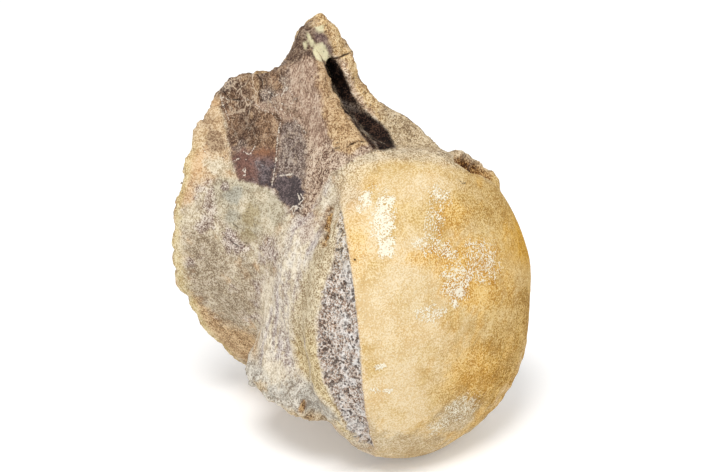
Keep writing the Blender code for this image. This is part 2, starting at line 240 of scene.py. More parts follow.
ARCH_GREY = kind((124, 108, 98), (190, 176, 162), (76, 62, 56), 0.9)
ARCH_RUST = kind((134, 104, 80), (182, 150, 118), (82, 60, 46), 0.85)
PINK = kind((174, 147, 126), (216, 194, 172), (118, 92, 76), 0.75)
ARCH_TAN = kind((172, 139, 104), (212, 184, 146), (112, 82, 56), 0.85)
ARCH_FOOT = kind((174, 148, 126), (222, 202, 180), (98, 74, 62), 1)
GREY_PURPLE = kind((126, 109, 100), (182, 168, 156), (78, 64, 58), 0.85)
GLOSS_RED = kind((104, 70, 58), (138, 100, 86), (70, 45, 39), 0.65)
GLOSS_RUST = kind((126, 84, 56), (156, 112, 80), (84, 54, 38), 0.6)
GLOSS_PURPLE = kind((70, 57, 56), (116, 100, 99), (38, 29, 31), 0.75)
NECK = kind((214, 193, 158), (238, 224, 196), (142, 116, 84), 0.85)
NECK_GREY = kind((180, 162, 134), (218, 204, 178), (116, 98, 74), 0.85)
BREAK_OCHRE = kind((212, 178, 126), (242, 220, 178), (138, 104, 68), 0.85)
BREAK_LILAC = kind((226, 199, 170), (246, 230, 210), (156, 126, 104), 0.85)
PEAK = kind((100, 79, 66), (148, 126, 104), (60, 45, 40), 0.7)
PEAK_DARK = kind((108, 88, 82), (142, 120, 110), (66, 50, 50), 0.6)
# Painted shade of the canal, and the canal's fibres as seen in shade.
CANAL_SHADE = kind((30, 20, 16), (78, 56, 44), (12, 8, 8), 0.9)
CANAL_FIBRES_IN_SHADE = kind((92, 66, 46), (196, 164, 126), (22, 13, 9), 1.25)
PUTTY = kind((214, 206, 168), (226, 220, 188), (194, 184, 142), 0.35)
MATRIX = kind((190, 175, 148), (218, 206, 182), (138, 120, 96), 0.75)
DOME_PALE = kind((220, 197, 154), (240, 226, 198), (202, 166, 112), 0.45)
DOME_OCHRE = kind((209, 179, 120), (234, 213, 166), (180, 140, 78), 0.6)
DOME_ORANGE = kind((218, 168, 76), (242, 210, 142), (178, 120, 40), 0.85)
DOME_DEEP = kind((184, 143, 70), (220, 188, 122), (138, 98, 36), 0.95)
DOME_EDGE = kind((200, 146, 32), (228, 186, 86), (158, 108, 14), 0.7)
DOME_FOOT = kind((190, 170, 134), (220, 206, 180), (150, 124, 88), 0.75)
DOME_LIP = kind((220, 192, 152), (240, 224, 198), (188, 148, 98), 0.6)
SPONGE = kind((230, 225, 220), (248, 247, 244), (176, 160, 150), 0.7)
SPONGE_BROWN = kind((186, 162, 142), (218, 202, 186), (122, 92, 72), 0.8)

# ---------------- outlines, in photograph pixels

# Borders that two neighbouring outlines share are lists of their own.
CRESCENT_EDGE = [
    (350, 262), (354, 290), (357, 320), (360, 350), (362, 382), (365, 412), (370, 432), (374, 446),
]
SPONGY_OUTLINE = [
    (342, 214), (338, 232), (335, 260), (326, 285), (318, 320), (319, 350), (325, 380), (335, 402),
    (348, 428), (360, 442), *CRESCENT_EDGE[::-1], (346, 232),
]
DOME_OUTLINE = [
    (346, 174), (342, 188), (341, 202), (345, 232), *CRESCENT_EDGE, (374, 480), (560, 480),
    (560, 190), (505, 186), (484, 174), (466, 168), (450, 163), (430, 159), (400, 157), (378, 158),
    (360, 163),
]
ARCH_OUTLINE = [
    (222, 68), (250, 60), (300, 46), (322, 52), (330, 72), (345, 108), (378, 148), (352, 160),
    (332, 172), (318, 196), (306, 216), (292, 215), (272, 189), (252, 183), (238, 180), (231, 160),
    (227, 130), (223, 110), (221, 88), (221, 78),
]
GREEN_OUTLINE = [
    (218, 176), (238, 179), (254, 184), (272, 190), (286, 208), (284, 222), (270, 232), (252, 238),
    (234, 232), (218, 216), (212, 196),
]
TAN_OUTLINE = [
    (328, 212), (318, 245), (304, 275), (292, 320), (296, 355), (308, 385), (324, 405), (342, 432),
    (352, 440), (346, 424), (334, 402), (324, 380), (318, 350), (317, 320), (325, 286), (334, 260),
    (340, 228),
]
PILLAR_OUTLINE = [
    (318, 178), (306, 200), (290, 226), (282, 250), (268, 290), (260, 330), (256, 362), (262, 392),
    (300, 404), (330, 410), (322, 402), (306, 385), (296, 355), (292, 320), (304, 275), (318, 245),
    (328, 205), (332, 180),
]
PINK_OUTLINE = [
    (286, 66), (308, 54), (319, 66), (326, 92), (332, 112), (334, 134), (322, 150), (308, 140),
    (300, 118), (292, 100),
]
EDGE_TAN_OUTLINE = [
    (318, 58), (328, 70), (334, 88), (342, 106), (354, 124), (368, 142), (350, 152), (334, 150),
    (328, 130), (324, 104), (318, 84),
]
GLOSS_OUTLINE = [
    (229, 146), (240, 148), (254, 148), (262, 146), (277, 146), (276, 160), (272, 189), (252, 183),
    (238, 180), (232, 162),
]
RUST_OUTLINE = [(256, 138), (266, 128), (279, 126), (278, 152), (266, 158), (254, 154)]
DARK_FACET_OUTLINE = [
    (272, 188), (274, 178), (284, 175), (294, 176), (302, 180), (305, 192), (303, 203), (296, 210),
    (287, 207), (280, 199),
]
GREY_ZONE_OUTLINE = [
    (280, 124), (298, 120), (306, 140), (306, 176), (302, 186), (290, 176), (276, 176), (277, 150),
]
PEAK_OUTLINE = [
    (288, 64), (290, 44), (297, 32), (302, 24), (312, 22), (318, 32), (326, 34), (333, 46), (336, 55),
    (326, 62), (306, 56), (296, 60),
]
PEAK_BAND_OUTLINE = [(314, 33), (321, 30), (330, 40), (334, 50), (330, 54), (323, 44), (316, 41)]
PUTTY_OUTLINES = [
    [(315, 45), (322, 43), (327, 48), (330, 57), (325, 61), (316, 58), (313, 52)],
    [(315, 27), (323, 25), (324, 31), (318, 33)],
    [(306, 33), (310, 35), (314, 42), (317, 46), (312, 47), (308, 41)],
    [(303, 43), (307, 41), (307, 48), (304, 49)],
]
NECK_OUTLINE = [
    (338, 178), (350, 158), (372, 149), (400, 147), (430, 148), (450, 152), (456, 166), (430, 163),
    (400, 161), (378, 164), (366, 176), (354, 200), (342, 210),
]
LIP_OUTLINE = [
    (526, 338), (534, 330), (532, 354), (524, 386), (500, 412), (490, 408), (512, 378), (522, 352),
]
SLOT_EDGE = [
    (336, 60), (341, 69), (346, 79), (352, 93), (358, 103), (368, 113), (380, 122), (389, 131),
]
SLOT_OUTLINE = [
    (325, 60), *SLOT_EDGE, (397, 148), (384, 151), (373, 149), (361, 134), (350, 117), (340, 100),
    (331, 80),
]
SLOT_FIBRES_OUTLINE = [(356, 108), (368, 116), (380, 126), (392, 148), (374, 148), (364, 134), (356, 120)]
FAR_STRIP_OUTLINE = [
    (334, 56), (345, 60), (350, 74), (356, 88), (364, 104), (378, 118), (372, 122), (358, 108),
    (346, 86), (338, 66),
]
FAR_EDGE_OUTLINE = [
    (322, 12), (336, 20), (350, 42), (358, 58), (366, 80), (374, 94), (392, 104), (414, 116),
    (442, 142), (452, 150), (436, 151), (404, 148), (396, 150), *SLOT_EDGE[::-1], (334, 50),
    (328, 38), (320, 26),
]
RIM_LOW_OUTLINE = [
    (192, 292), (202, 302), (214, 316), (230, 326), (246, 330), (258, 338), (258, 364), (240, 360),
    (218, 346), (200, 328), (188, 306),
]
MARGIN_OUTLINE = [
    (224, 92), (212, 96), (200, 120), (188, 146), (178, 176), (172, 204), (182, 206), (196, 188),
    (212, 178), (232, 180), (230, 160), (226, 132), (222, 112),
]
STUMP_FACE_OUTLINE = [(300, 402), (318, 400), (332, 408), (340, 420), (322, 420), (306, 414)]

# Marks as (kind, strength, x, y, half width, half height, and the lean in degrees if there is one).
FLANK_MARKS = [
    (SPOTTED_BROWN, 0.95, 214, 142, 9, 11), (SPOTTED_BROWN, 0.4, 208, 120, 7, 10, 20),
    (ORANGE_BLUSH, 0.8, 197, 164, 9, 16, 15), (ORANGE_BLUSH, 0.7, 222, 102, 6, 7),
    (ORANGE_BLUSH, 0.6, 186, 196, 7, 12, 10), (FLANK_CREAM, 0.9, 217, 166, 12, 10, 30),
    (FLANK_CREAM, 0.9, 190, 216, 10, 12), (FLANK_CREAM, 0.7, 180, 262, 8, 20),
    (FLANK_CREAM, 0.6, 256, 250, 14, 12), (LILAC_SPOTS, 0.7, 214, 200, 9, 20, 10),
    (LILAC_SPOTS, 0.9, 236, 240, 12, 16, -30), (LILAC_SPOTS, 0.8, 271, 248, 11, 14, 30),
    (LILAC_SPOTS, 0.5, 262, 292, 9, 20), (FLANK_GREY, 0.8, 206, 250, 16, 14),
    (FLANK_GREY, 0.9, 208, 282, 20, 18, -40), (FLANK_GREY, 0.8, 236, 304, 18, 12, 30),
    (FLANK_GREY, 0.6, 246, 278, 8, 16), (PILLAR_CREAM, 0.8, 289, 248, 10, 20, -35),
]
GREEN_MARKS = [
    (GREEN_BLUE, 0.9, 234, 196, 11, 10, 30), (GREEN_OLIVE, 0.9, 251, 215, 9, 13),
    (GREEN_BLUE, 0.6, 232, 216, 8, 6), (FLANK_CREAM, 0.7, 243, 204, 4, 9, 10),
    (FLANK_CREAM, 0.7, 262, 196, 7, 5, 30), (LILAC_SPOTS, 0.7, 226, 186, 5, 5),
    (GREEN_OLIVE, 0.8, 247, 236, 8, 7), (FLANK_CREAM, 0.8, 268, 226, 6, 10, -30),
    (FLANK_CREAM, 0.6, 222, 210, 5, 9),
]
BODY_MARKS = [
    (PIT_BROWN, 0.9, 303, 406, 3, 6, 10), (PIT_BROWN, 0.6, 309, 416, 4, 3),
    (STUMP_TAN, 0.8, 262, 386, 8, 5, 20), (STUMP, 0.6, 280, 388, 14, 7, 20),
    (MARGIN_TAN, 0.6, 310, 224, 9, 18, 15), (LILAC_SPOTS, 0.6, 302, 216, 7, 12, 30),
    (SPOTTED_BROWN, 0.5, 318, 200, 5, 14, 12), (PILLAR_CREAM, 0.8, 266, 300, 6, 20, 8),
    (PILLAR_LILAC, 0.6, 308, 228, 10, 16), (PILLAR_CREAM, 0.7, 276, 372, 12, 14),
]
ARCH_MARKS = [
    (ARCH_DEEP, 0.9, 250, 128, 22, 13), (ARCH_DEEP, 0.7, 240, 100, 14, 14),
    (ARCH_GREY, 0.8, 267, 96, 9, 10), (ARCH_RUST, 0.7, 276, 80, 9, 10),
    (ARCH_RUST, 0.6, 233, 116, 6, 16), (ARCH_GREY, 0.7, 288, 84, 8, 14),
    (ARCH_RUST, 0.8, 268, 120, 12, 12), (PINK, 0.85, 266, 107, 13, 4, 15),
    (PINK, 0.9, 287, 116, 15, 6, 35), (ARCH_TAN, 0.6, 257, 90, 3, 12), (PINK, 0.75, 286, 101, 14, 9),
    (ARCH_TAN, 0.6, 250, 74, 8, 3),
]
DOME_MARKS = [
    (DOME_ORANGE, 0.4, 354, 240, 14, 34), (DOME_LIP, 0.6, 352, 196, 12, 14),
    (DOME_ORANGE, 0.4, 372, 184, 12, 8, -30), (DOME_ORANGE, 0.65, 424, 256, 24, 10, -10),
    (DOME_ORANGE, 0.75, 466, 262, 34, 24), (DOME_ORANGE, 0.7, 474, 292, 36, 18, 10),
    (DOME_ORANGE, 0.55, 452, 214, 16, 16), (DOME_ORANGE, 0.5, 474, 366, 26, 26),
    (DOME_DEEP, 0.45, 506, 326, 18, 44), (DOME_ORANGE, 0.4, 420, 330, 34, 12, -20),
    (DOME_PALE, 0.7, 405, 330, 40, 34), (DOME_PALE, 0.6, 408, 186, 40, 16),
    (DOME_PALE, 0.6, 404, 284, 30, 18), (DOME_FOOT, 0.9, 456, 416, 26, 14, -28),
    (DOME_FOOT, 0.8, 400, 446, 50, 14), (DOME_FOOT, 0.6, 366, 436, 12, 20),
]
# Chalky patches, as marks without a kind.
CHALK_MARKS = [
    (1.12, 386, 202, 11, 8), (1.2, 384, 217, 8.5, 16), (0.95, 384, 232, 9, 14), (1.15, 386, 246, 9, 12),
    (1.1, 382, 240, 6, 8), (0.8, 384, 222, 14, 32), (1.05, 366, 199, 10, 8, -25),
    (0.85, 360, 208, 5, 6), (0.62, 372, 186, 6, 4), (0.78, 438, 196, 13, 12, 20),
    (0.76, 434, 220, 11, 15, 20), (0.78, 432, 246, 24, 11, 10), (0.85, 451, 254, 8, 8),
    (0.88, 456, 282, 15, 22, 10), (1.35, 459, 292, 5, 6, 30), (1.35, 455, 304, 3.4, 4.5),
    (1.1, 468, 280, 3, 5, 30), (1, 482, 281, 4, 2.4, -20), (0.95, 490, 264, 2.4, 5, 20),
    (1, 468, 245, 5, 2.4, -20), (1, 482, 246, 2.4, 3), (0.76, 480, 262, 20, 24),
    (0.82, 432, 313, 17, 10, -10), (1.1, 379, 367, 7, 2.8, -12), (0.85, 375, 390, 7, 2.2),
    (1.05, 387, 391, 5, 2.6), (0.74, 462, 408, 22, 11, -35), (0.78, 438, 426, 11, 7, -30),
    (1.1, 204.5, 151.5, 2, 2),
]
# Seams, cracks with one painted shadow line among them, ridges and the brown streak as (strength, line),
# and dots as (strength, x, y, radius).
SEAMS = [
    (0.75, [(280, 122), (278, 134), (277, 147), (275, 165), (272, 186)]),
    (1, [(275, 177), (281, 175.5), (288, 174.5), (293, 174)]),
    (0.7, [(293, 174), (296, 178)]),
    (0.8, [(288, 213), (291, 208), (294, 213), (298, 207), (303, 210)]),
    (0.8, [(299, 204), (304, 199), (301, 194)]),
    (0.8, [(242, 171), (245, 168), (246, 175), (243, 176)]),
    (0.8, [(244, 152), (250, 155), (255, 146)]),
    (0.6, [(232, 162), (240, 158), (246, 160)]),
    (0.9, [(243, 170), (246, 174)]),
    (0.7, [(286, 160), (287, 168)]),
    (0.9, [(289, 212), (293, 206), (297, 206), (294, 214)]),
    (0.8, [(298, 194), (300, 202), (303, 207)]),
    (0.6, [(222, 96), (225, 108), (230, 122)]),
    (0.65, [(284, 78), (286, 88), (282, 96)]),
    (0.65, [(274, 90), (277, 104), (282, 110)]),
    (0.6, [(284, 112), (292, 116), (300, 126), (306, 134)]),
    (0.7, [(268, 92), (274, 96), (282, 94), (288, 88)]),
    (0.7, [(276, 108), (281, 103), (286, 106)]),
    (0.6, [(270, 100), (276, 108), (280, 118)]),
    (0.6, [(290, 92), (296, 98), (293, 104)]),
    (0.65, [(262, 110), (270, 112), (279, 120)]),
    (0.6, [(224, 98), (238, 101), (250, 100), (262, 110)]),
]
CRACKS_AND_SHADOW_LINE = [
    (1, [(328, 61), (333, 59), (338, 58), (349, 53)]),
    (0.75, [(347, 147), (351, 144), (358, 141), (365, 141)]),
    (0.5, [(329, 158), (333, 151), (338, 147)]),
    (0.7, [(225, 224), (231, 223), (236, 226), (239, 231)]),
    (0.7, [(228, 237), (232, 243), (238, 247)]),
    (0.6, [(240, 246), (245, 243), (251, 246)]),
    (0.5, [(241, 262), (248, 258)]),
    (0.5, [(241, 275), (250, 273)]),
    (0.5, [(300, 397), (304, 405), (303, 414)]),
    (0.7, [(222, 80), (223, 90), (228, 99), (240, 100)]),
    (0.7, [(259, 76), (262, 84), (259, 94), (262, 101)]),
    (0.5, [(236, 80), (240, 88), (239, 97)]),
    # A painted shadow line along the neck's upper border, drawn and cut like a crack.
    (0.5, [(346, 164), (352, 158), (362, 153), (376, 150)]),
    (0.6, [(458, 178), (464, 183), (471, 184)]),
]
RIDGES = [
    (1, [(322, 212), (306, 236), (295, 262), (291, 300), (291, 340), (298, 372), (316, 392),
           (330, 406), (344, 426)]),
    (1, [(334, 258), (325, 288), (316, 322), (318, 352), (324, 380), (334, 402)]),
]
DARK_DOTS = [
    (1, 354.3, 259, 0.9), (0.45, 295, 100, 2.8), (0.8, 275.5, 262, 0.8),
    (0.8, 289.5, 262, 0.8), (0.8, 442.5, 187.5, 0.7),
]
HOLLOW_STREAK = [(1, [(330, 210), (328, 216), (326, 226), (325, 236), (323, 243)])]

# Borders in the photograph as (none, full): pixels across it for _X and down it for _Y.
ARCH_FOOT_X = (298, 312)
ARCH_FOOT_Y = (130, 150)
DOME_EDGE_X = (488, 530)
DOME_EDGE_Y = (284, 248)
DOME_EDGE_TOP_Y = (190, 226)
DOME_FOOT_Y = (395, 430)
DOME_HIGH_Y = (250, 205)
DOME_LEFT_X = (420, 380)
DOME_LOW_Y = (300, 380)
DOME_RIGHT_X = (400, 500)
DOME_RIM_X = (508, 528)
DOME_RIM_Y = (262, 290)
DOME_TOP_Y = (215, 180)
FAR_BREAK_X = (364, 392)
GLOSS_RED_Y = (144, 158)
GRAINY_DOME_X = (420, 500)
NEAR_EDGE_X = (318, 340)
OCHRE_TOP_X = (306, 316)
OCHRE_TOP_Y = (32, 22)
PURPLE_X = (250, 264)
PURPLE_Y = (152, 168)
PURPLE_FOOT_Y = (176, 184)
SPONGE_LEFT_X = (346, 334)
SPONGE_TAN_Y = (290, 235)
TAN_YELLOW_Y = (320, 350)
WEB_X = (284, 262)
WEB_Y = (128, 108)
WORN_EDGE_X = (425, 490)

# Swellings and hollows as (rise, reach, line), and the bite under the shoulder, all in millimetres
# of the drawing frame.
SHOULDER_REACH = 3.8
SHOULDER_LINE = [(16.5, -26.8, 75.2), (19.6, -27.8, 72.6), (22, -29.4, 70.4), (24.5, -31, 67.6)]
KNOBS = [
    (2, SHOULDER_REACH, SHOULDER_LINE),
    (1.6, 4.5, [(-15.5, 27.2, 83.2), (-18, 27.4, 81.4), (-21, 27.6, 78.8)]),
    (-0.8, 7, [(-27.5, 28.5, 72), (-31.2, 28.3, 62), (-31.9, 27.6, 57.5)]),
    (1.5, 5.5, [(-31.6, 27.2, 50), (-31, 26.8, 46), (-29.8, 27, 42), (-29, 27, 39)]),
    (0.7, 3.5, [(11, -11, 83.9), (12, -13, 83)]),
    (1.3, 3.4, [(-10.2, 22, 91), (-9.8, 19.5, 91.8), (-10.5, 17, 92.6)]),
    (-0.8, 3.2, [(14, -19.7, 79.3), (14.1, -23.7, 77.6)]),
    (1, 2.8, [(-4, 7.8, 104.6), (-2.5, 10, 102.4)]),
    (-1.6, 3.3, [(-5.6, 12.1, 98.8), (-7.4, 12.4, 96.9)]),
    (0.9, 3.2, [(7.2, 4, 99.8), (7.6, 3.6, 97.8)]),
    (-0.6, 2.4, [(-1.4, 8.4, 107), (-0.2, 8.8, 107.6)]),
]
SHOULDER_BITE = [(14.2, -29.4, 75.8), (16.6, -29.6, 74.2), (19, -30.5, 72.2), (21.2, -31.6, 70.2)]


# ---------------- the fine mesh

VOXEL = 1.15
SOFTEN_FACTOR = 0.5
SOFTEN_PASSES = 6
SIGHT_LIFT = 0.6
FACING_SEEN = (0.02, 0.16)
LINE_CORE = 0.2
MARK_FADE = (1.35, 0.65)
MARK_RAGGED = 0.28
CHALK_RAGGED = 0.22
MARGIN_PIXELS = -2


def add_object(name, data):
    obj = bpy.data.objects.new(name, data)
    bpy.context.scene.collection.objects.link(obj)
    return obj


def smooth_copy(node):
    """The CAD solid as an even mesh of small quads with its facets smoothed away."""
    source = add_object("source", node.data.copy())
    remesh = source.modifiers.new("even", "REMESH")
    remesh.mode = "VOXEL"
    remesh.voxel_size = VOXEL * MM
    soften = source.modifiers.new("soften", "SMOOTH")
    soften.factor = SOFTEN_FACTOR
    soften.iterations = SOFTEN_PASSES
    graph = bpy.context.evaluated_depsgraph_get()
    mesh = bpy.data.meshes.new_from_object(source.evaluated_get(graph))
    bpy.data.objects.remove(source)
    mesh.name = "fossil_vertebra"
    return mesh


def vectors(items, name):
    """One vector of each mesh vertex or face, as rows."""
    values = np.empty(len(items) * 3, np.float32)
    items.foreach_get(name, values)
    return values.reshape(-1, 3).astype(float)


def refine(mesh, wanted):
    """Splits in four the faces that the function wanted picks by their middles and normals."""
    chosen = wanted(vectors(mesh.polygons, "center") / MM, vectors(mesh.polygons, "normal"))
    bm = bmesh.new()
    bm.from_mesh(mesh)
    bm.faces.ensure_lookup_table()
    edges = {e for k in np.nonzero(chosen)[0] for e in bm.faces[k].edges}
    edges = sorted(edges, key=lambda e: e.index)
    bmesh.ops.subdivide_edges(bm, edges=edges, cuts=1, use_grid_fill=True)
    bmesh.ops.triangulate(bm, faces=[f for f in bm.faces if len(f.verts) > 4])
    bm.to_mesh(mesh)
    bm.free()


def needs_detail(points, directions):
    """Faces that the camera sees, broken edges and stumps, but not the smooth joint surface."""
    x, y, z = (points - DESIGN_ORIGIN).T
    q = pixel_of(points)
    in_view = facing_of(points, directions) > 0
    smooth_dome = (y < -29.5) & (depth_in(DOME_OUTLINE, q) > 5) & (z < 76)
    chalky = chalk_at(q, np.zeros(len(q))) > 0.8
    stumps = (np.abs(x) > 25) & (z < 26) & (y > -26) & (y < 9)
    broken = (z > 84) | (y > 25.5) | stumps
    return (in_view & (~smooth_dome | chalky)) | broken & ~smooth_dome


def needs_most(points, directions):
    """Faces of the arch's stained side, its break and the spongy crescent."""
    x, y, _ = (points - DESIGN_ORIGIN).T
    q = pixel_of(points)
    in_view = facing_of(points, directions) > 0.1
    arch = (depth_in(ARCH_OUTLINE, q) > MARGIN_PIXELS) & (x < 0)
    crescent = (depth_in(SPONGY_OUTLINE, q) > MARGIN_PIXELS) & (x < -14)
    return in_view & (arch | crescent) & (y < 26)


def in_sight(mesh, points, facing):
    """1 where nothing lies between a point and the camera, and 0 elsewhere."""
    tree = BVHTree.FromPolygons(
        [v.co for v in mesh.vertices], [p.vertices[:] for p in mesh.polygons]
    )
    eye = Vector(EYE * MM)
    clear = np.zeros(len(points))
    for k in np.nonzero(facing > FACING_SEEN[0])[0]:
        start = Vector(points[k] * MM)
        towards = (eye - start).normalized()
        hit = tree.ray_cast(start + towards * SIGHT_LIFT * MM, towards)
        clear[k] = hit[0] is None
    return clear


def mark_at(q, ragged, x, y, half_width, half_height, lean=0):
    """1 inside an oval mark that leans by lean degrees, fading to 0 outside it."""
    turn = math.radians(lean)
    dx, dy = q[:, 0] - x, q[:, 1] - y
    across = (dx * math.cos(turn) + dy * math.sin(turn)) / half_width
    along = (dy * math.cos(turn) - dx * math.sin(turn)) / half_height
    return step(*MARK_FADE, np.hypot(across, along) + ragged)


def chalk_at(q, ragged):
    """Strength of the strongest chalk mark at each pixel position."""
    chalk = np.zeros(len(q))
    for strength, *mark in CHALK_MARKS:
        chalk = np.maximum(chalk, strength * mark_at(q, ragged, *mark))
    return chalk


def near_lines(lines, q, reach, ragged):
    """The strength of a line at points on it, fading to 0 at reach pixels from it."""
    best = np.zeros(len(q))
    for strength, line in lines:
        near = step(reach, LINE_CORE * reach, distance_to_line(line, q) + ragged)
        best = np.maximum(best, strength * near)
    return best


# Soft boxes in the drawing frame, with X measured to either flank. Each side is (axis, none, full):
# the coordinates where the form is absent and where it is complete.
X, Y, Z = range(3)
ARCH_WALLS = [(X, 27, 22), (Y, -27, -22)]
ARCH_TOP = [(Z, 84, 87), (X, 24, 18)]
CANAL_WALLS = [(Z, 80, 83), (Y, -24, -16)]
CANAL_FLOOR = [(X, 6.5, 5), (Z, 79.5, 81.5), (Z, 92, 88), (Y, -20, -12)]
CANAL_ENDS = [(X, 14, 9), (Z, 103, 98)]
NECK_BOX = [(Y, -29.5, -27), (Y, -20, -24), (Z, 62, 68)]
PILLAR_BOX = [(Z, 12, 18), (Z, 80, 70), (X, 18, 20)]
STUMP_BOX = [(Z, 30, 24), (X, 25, 28), (Y, -27, -24), (Y, 11, 8)]

# Single borders of the same sort, and how far a normal has to turn for a face to count.
ARCH_BORDER = (67.5, 73.5)
CREST = (86, 90)
CUP_FACING = (0.1, 0.45)
CUP_BORDER = (11, 14)
CUP_TOP = (81, 77)
DOME_BORDER = -29
FLOOR_FACING = (0.6, 0.9)
PILLAR_HALF = (12, 8)
PILLAR_MIDDLE = -11
RIM = (24, 27)
TOP_EDGE = (84, 88)
TOP_FACING = (0.15, 0.6)


def in_box(at, box, weight=1):
    """The weight of each point, less outside the soft box."""
    for axis, none, full in box:
        weight = weight * step(none, full, at[axis])
    return weight


class Surface:
    """The fine mesh's points with what the relief and the paint need to know about them."""

    def __init__(self, mesh):
        self.p = vectors(mesh.vertices, "co") / MM
        self.n = vectors(mesh.vertices, "normal")
        self.d = self.p - DESIGN_ORIGIN
        self.q = pixel_of(self.p)
        self.px, self.py = self.q.T
        facing = facing_of(self.p, self.n)
        self.seen = in_sight(mesh, self.p, facing) * step(*FACING_SEEN, facing)
        self.hidden = 1 - self.seen
        self.turned = step(-0.55, 0.05, facing)
        self.broad = fractal(self.p, 13, 1)
        self.mid = fractal(self.p, 5, 2)
        self.small = fractal(self.p, 2, 3)
        self.tiny = noise(self.p, 0.8, 4)
        self.ragged = 1.6 * self.small + self.tiny

    def region(self, outline, soft, warp=1):
        """Weight of a region of the visible side, fading over soft pixels across a warped border."""
        return self.seen * step(-soft, soft, depth_in(outline, self.q) + warp * self.ragged)

    def by_view(self, shown, hidden):
        """One rule where the camera sees the bone and another where it doesn't."""
        return np.where(self.seen > 0.5, shown, hidden)


def add_forms(s):
    """Weights of the parts of the bone: by outline where the camera sees, by landmark elsewhere."""
    x, y, z = s.d.T
    q, seen = s.q, s.seen
    inward = -(np.sign(x) * s.n[:, 0])
    up = s.n[:, 2]
    at = np.abs(x), y, z

    shown = depth_in(DOME_OUTLINE, q) / PIXELS_PER_MM + 0.25 * s.small
    top_fade = np.maximum(step(*DOME_TOP_Y, s.py), step(*DOME_FOOT_Y, s.py)) * seen
    hidden = DOME_BORDER - y + 0.5 * s.mid
    s.dome_depth = s.by_view(shown - 0.5 * top_fade * s.mid, hidden)
    soft = 0.2 + 1.8 * top_fade
    s.dome = step(-soft, soft, s.dome_depth)
    s.body = 1 - s.dome
    s.spongy = s.region(SPONGY_OUTLINE, 1.2, 1.8) * step(0.4, 0, s.dome_depth)

    # The canal's inner faces, by landmark, and the slot, by outline, are painted dark as shade.
    inner = in_box(at, CANAL_WALLS, step(0, 0.5, inward))
    floor = in_box(at, CANAL_FLOOR, step(*FLOOR_FACING, up))
    canal = in_box(at, CANAL_ENDS, np.maximum(inner, floor))
    s.slot = s.region(SLOT_OUTLINE, 1.2, 0.5)
    s.canal = s.by_view(s.slot, canal)

    foot = z + 0.18 * np.abs(y) + 3.5 * s.broad + 1.8 * s.mid + 1.2 * s.small
    wall = in_box(at, ARCH_WALLS, step(*ARCH_BORDER, foot))
    shown = np.maximum(depth_in(ARCH_OUTLINE, q), depth_in(FAR_EDGE_OUTLINE, q))
    arch = s.by_view(step(-2, 2, shown + 0.8 * s.ragged), wall)
    s.cup = step(*CUP_FACING, s.n[:, 1]) * step(*CUP_BORDER, y)
    s.cup = s.cup * step(*CUP_TOP, z + 0.8 * s.mid) * s.hidden
    s.arch = np.maximum(arch * s.body, in_box(at, ARCH_TOP)) * (1 - s.cup)

    s.rim = step(*RIM, y + 0.5 * s.mid)
    s.stump = in_box(at, STUMP_BOX)
    s.crest = step(*CREST, z) * s.body
    top_edge = step(*TOP_FACING, up) * step(*TOP_EDGE, z)
    near = s.region(EDGE_TAN_OUTLINE, 3) * step(*NEAR_EDGE_X, s.px + 3 * s.ragged)
    far = s.region(FAR_EDGE_OUTLINE, 2.5)
    s.broken = np.maximum.reduce([near, far, s.hidden * 0.8 * top_edge])
    s.broken *= s.body * (1 - s.canal)

    shown = step(-4, 6, depth_in(PILLAR_OUTLINE, q))
    hidden = in_box(at, PILLAR_BOX, step(*PILLAR_HALF, np.abs(y - PILLAR_MIDDLE)))
    s.pillar = s.by_view(shown, hidden) * (1 - s.spongy) * s.body
    s.neck = s.by_view(s.region(NECK_OUTLINE, 4, 1.5), in_box(at, NECK_BOX))


def add_textures(s):
    """Upright grooves and threads, and the small angular facets of a break."""
    x, y, z = s.d.T
    across = y + 0.1 * (z - 40) + 0.9 * s.mid
    s.grooves = noise(np.stack([x * 0.2, across, z * 0.12], axis=1), 1.5, 8)
    s.threads = noise(np.stack([x * 0.2, across, z * 0.1], axis=1), 0.8, 9)
    first, second, s.facet_tone = cells(s.p + 0.5 * s.tiny[:, None], 2.4, 6)
    s.chips = (s.facet_tone - 0.5) * step(0, 0.25, second - first)


def add_lines(s):
    """Ridges, seams, cracks with a painted shadow line, and dots, and the shoulder with its bite."""
    q, seen = s.q, s.seen
    s.ridge = near_lines(RIDGES, q, 2.4, 0.5 * s.small) * seen
    s.crack = near_lines(CRACKS_AND_SHADOW_LINE, q, 1.2, 0.5 * s.tiny + 0.3 * s.small) * seen
    s.seam = near_lines(SEAMS, q, 1.2, 0.6 * s.tiny + 0.5 * s.small) * seen
    s.streak = near_lines(HOLLOW_STREAK, q, 6.5, s.ragged) * seen
    vein = np.abs(fractal(s.p, 16, 43, 4, 0.55)) + step(0.05, 0.35, -noise(s.p, 11, 44))
    away = 0.8 * s.hidden * (1 - s.turned)
    s.hidden_crack = away * s.body * step(0.035, 0.012, vein)
    s.dot = np.zeros(len(q))
    for strength, x, y, radius in DARK_DOTS:
        near = step(radius + 0.8, radius - 0.3, np.hypot(s.px - x, s.py - y))
        s.dot = np.maximum(s.dot, strength * near * seen)
    s.shoulder = step(SHOULDER_REACH, KNOB_CORE, distance_to_line(SHOULDER_LINE, s.d))
    s.pit = step(2.2, 1.2, distance_to_line(SHOULDER_BITE, s.d) + 0.4 * s.ragged)


# ---------------- relief, in millimetres

KNOB_CORE = 0.4
LIP_RISE = 0.35
RIDGE_RISE = 0.35
SEAM_RISE = 0.08
CRACK_DEPTH = 0.45
DOT_DEPTH = 0.5
SPONGE_WEAR = 0.4
SPONGE_PORES = 0.55
CREST_LUMPS = 0.7
EDGE_CHIPS = 0.55
WORN_EDGE_LUMPS = 0.5
FLAT_HEIGHTS = (0.05, 1.2)


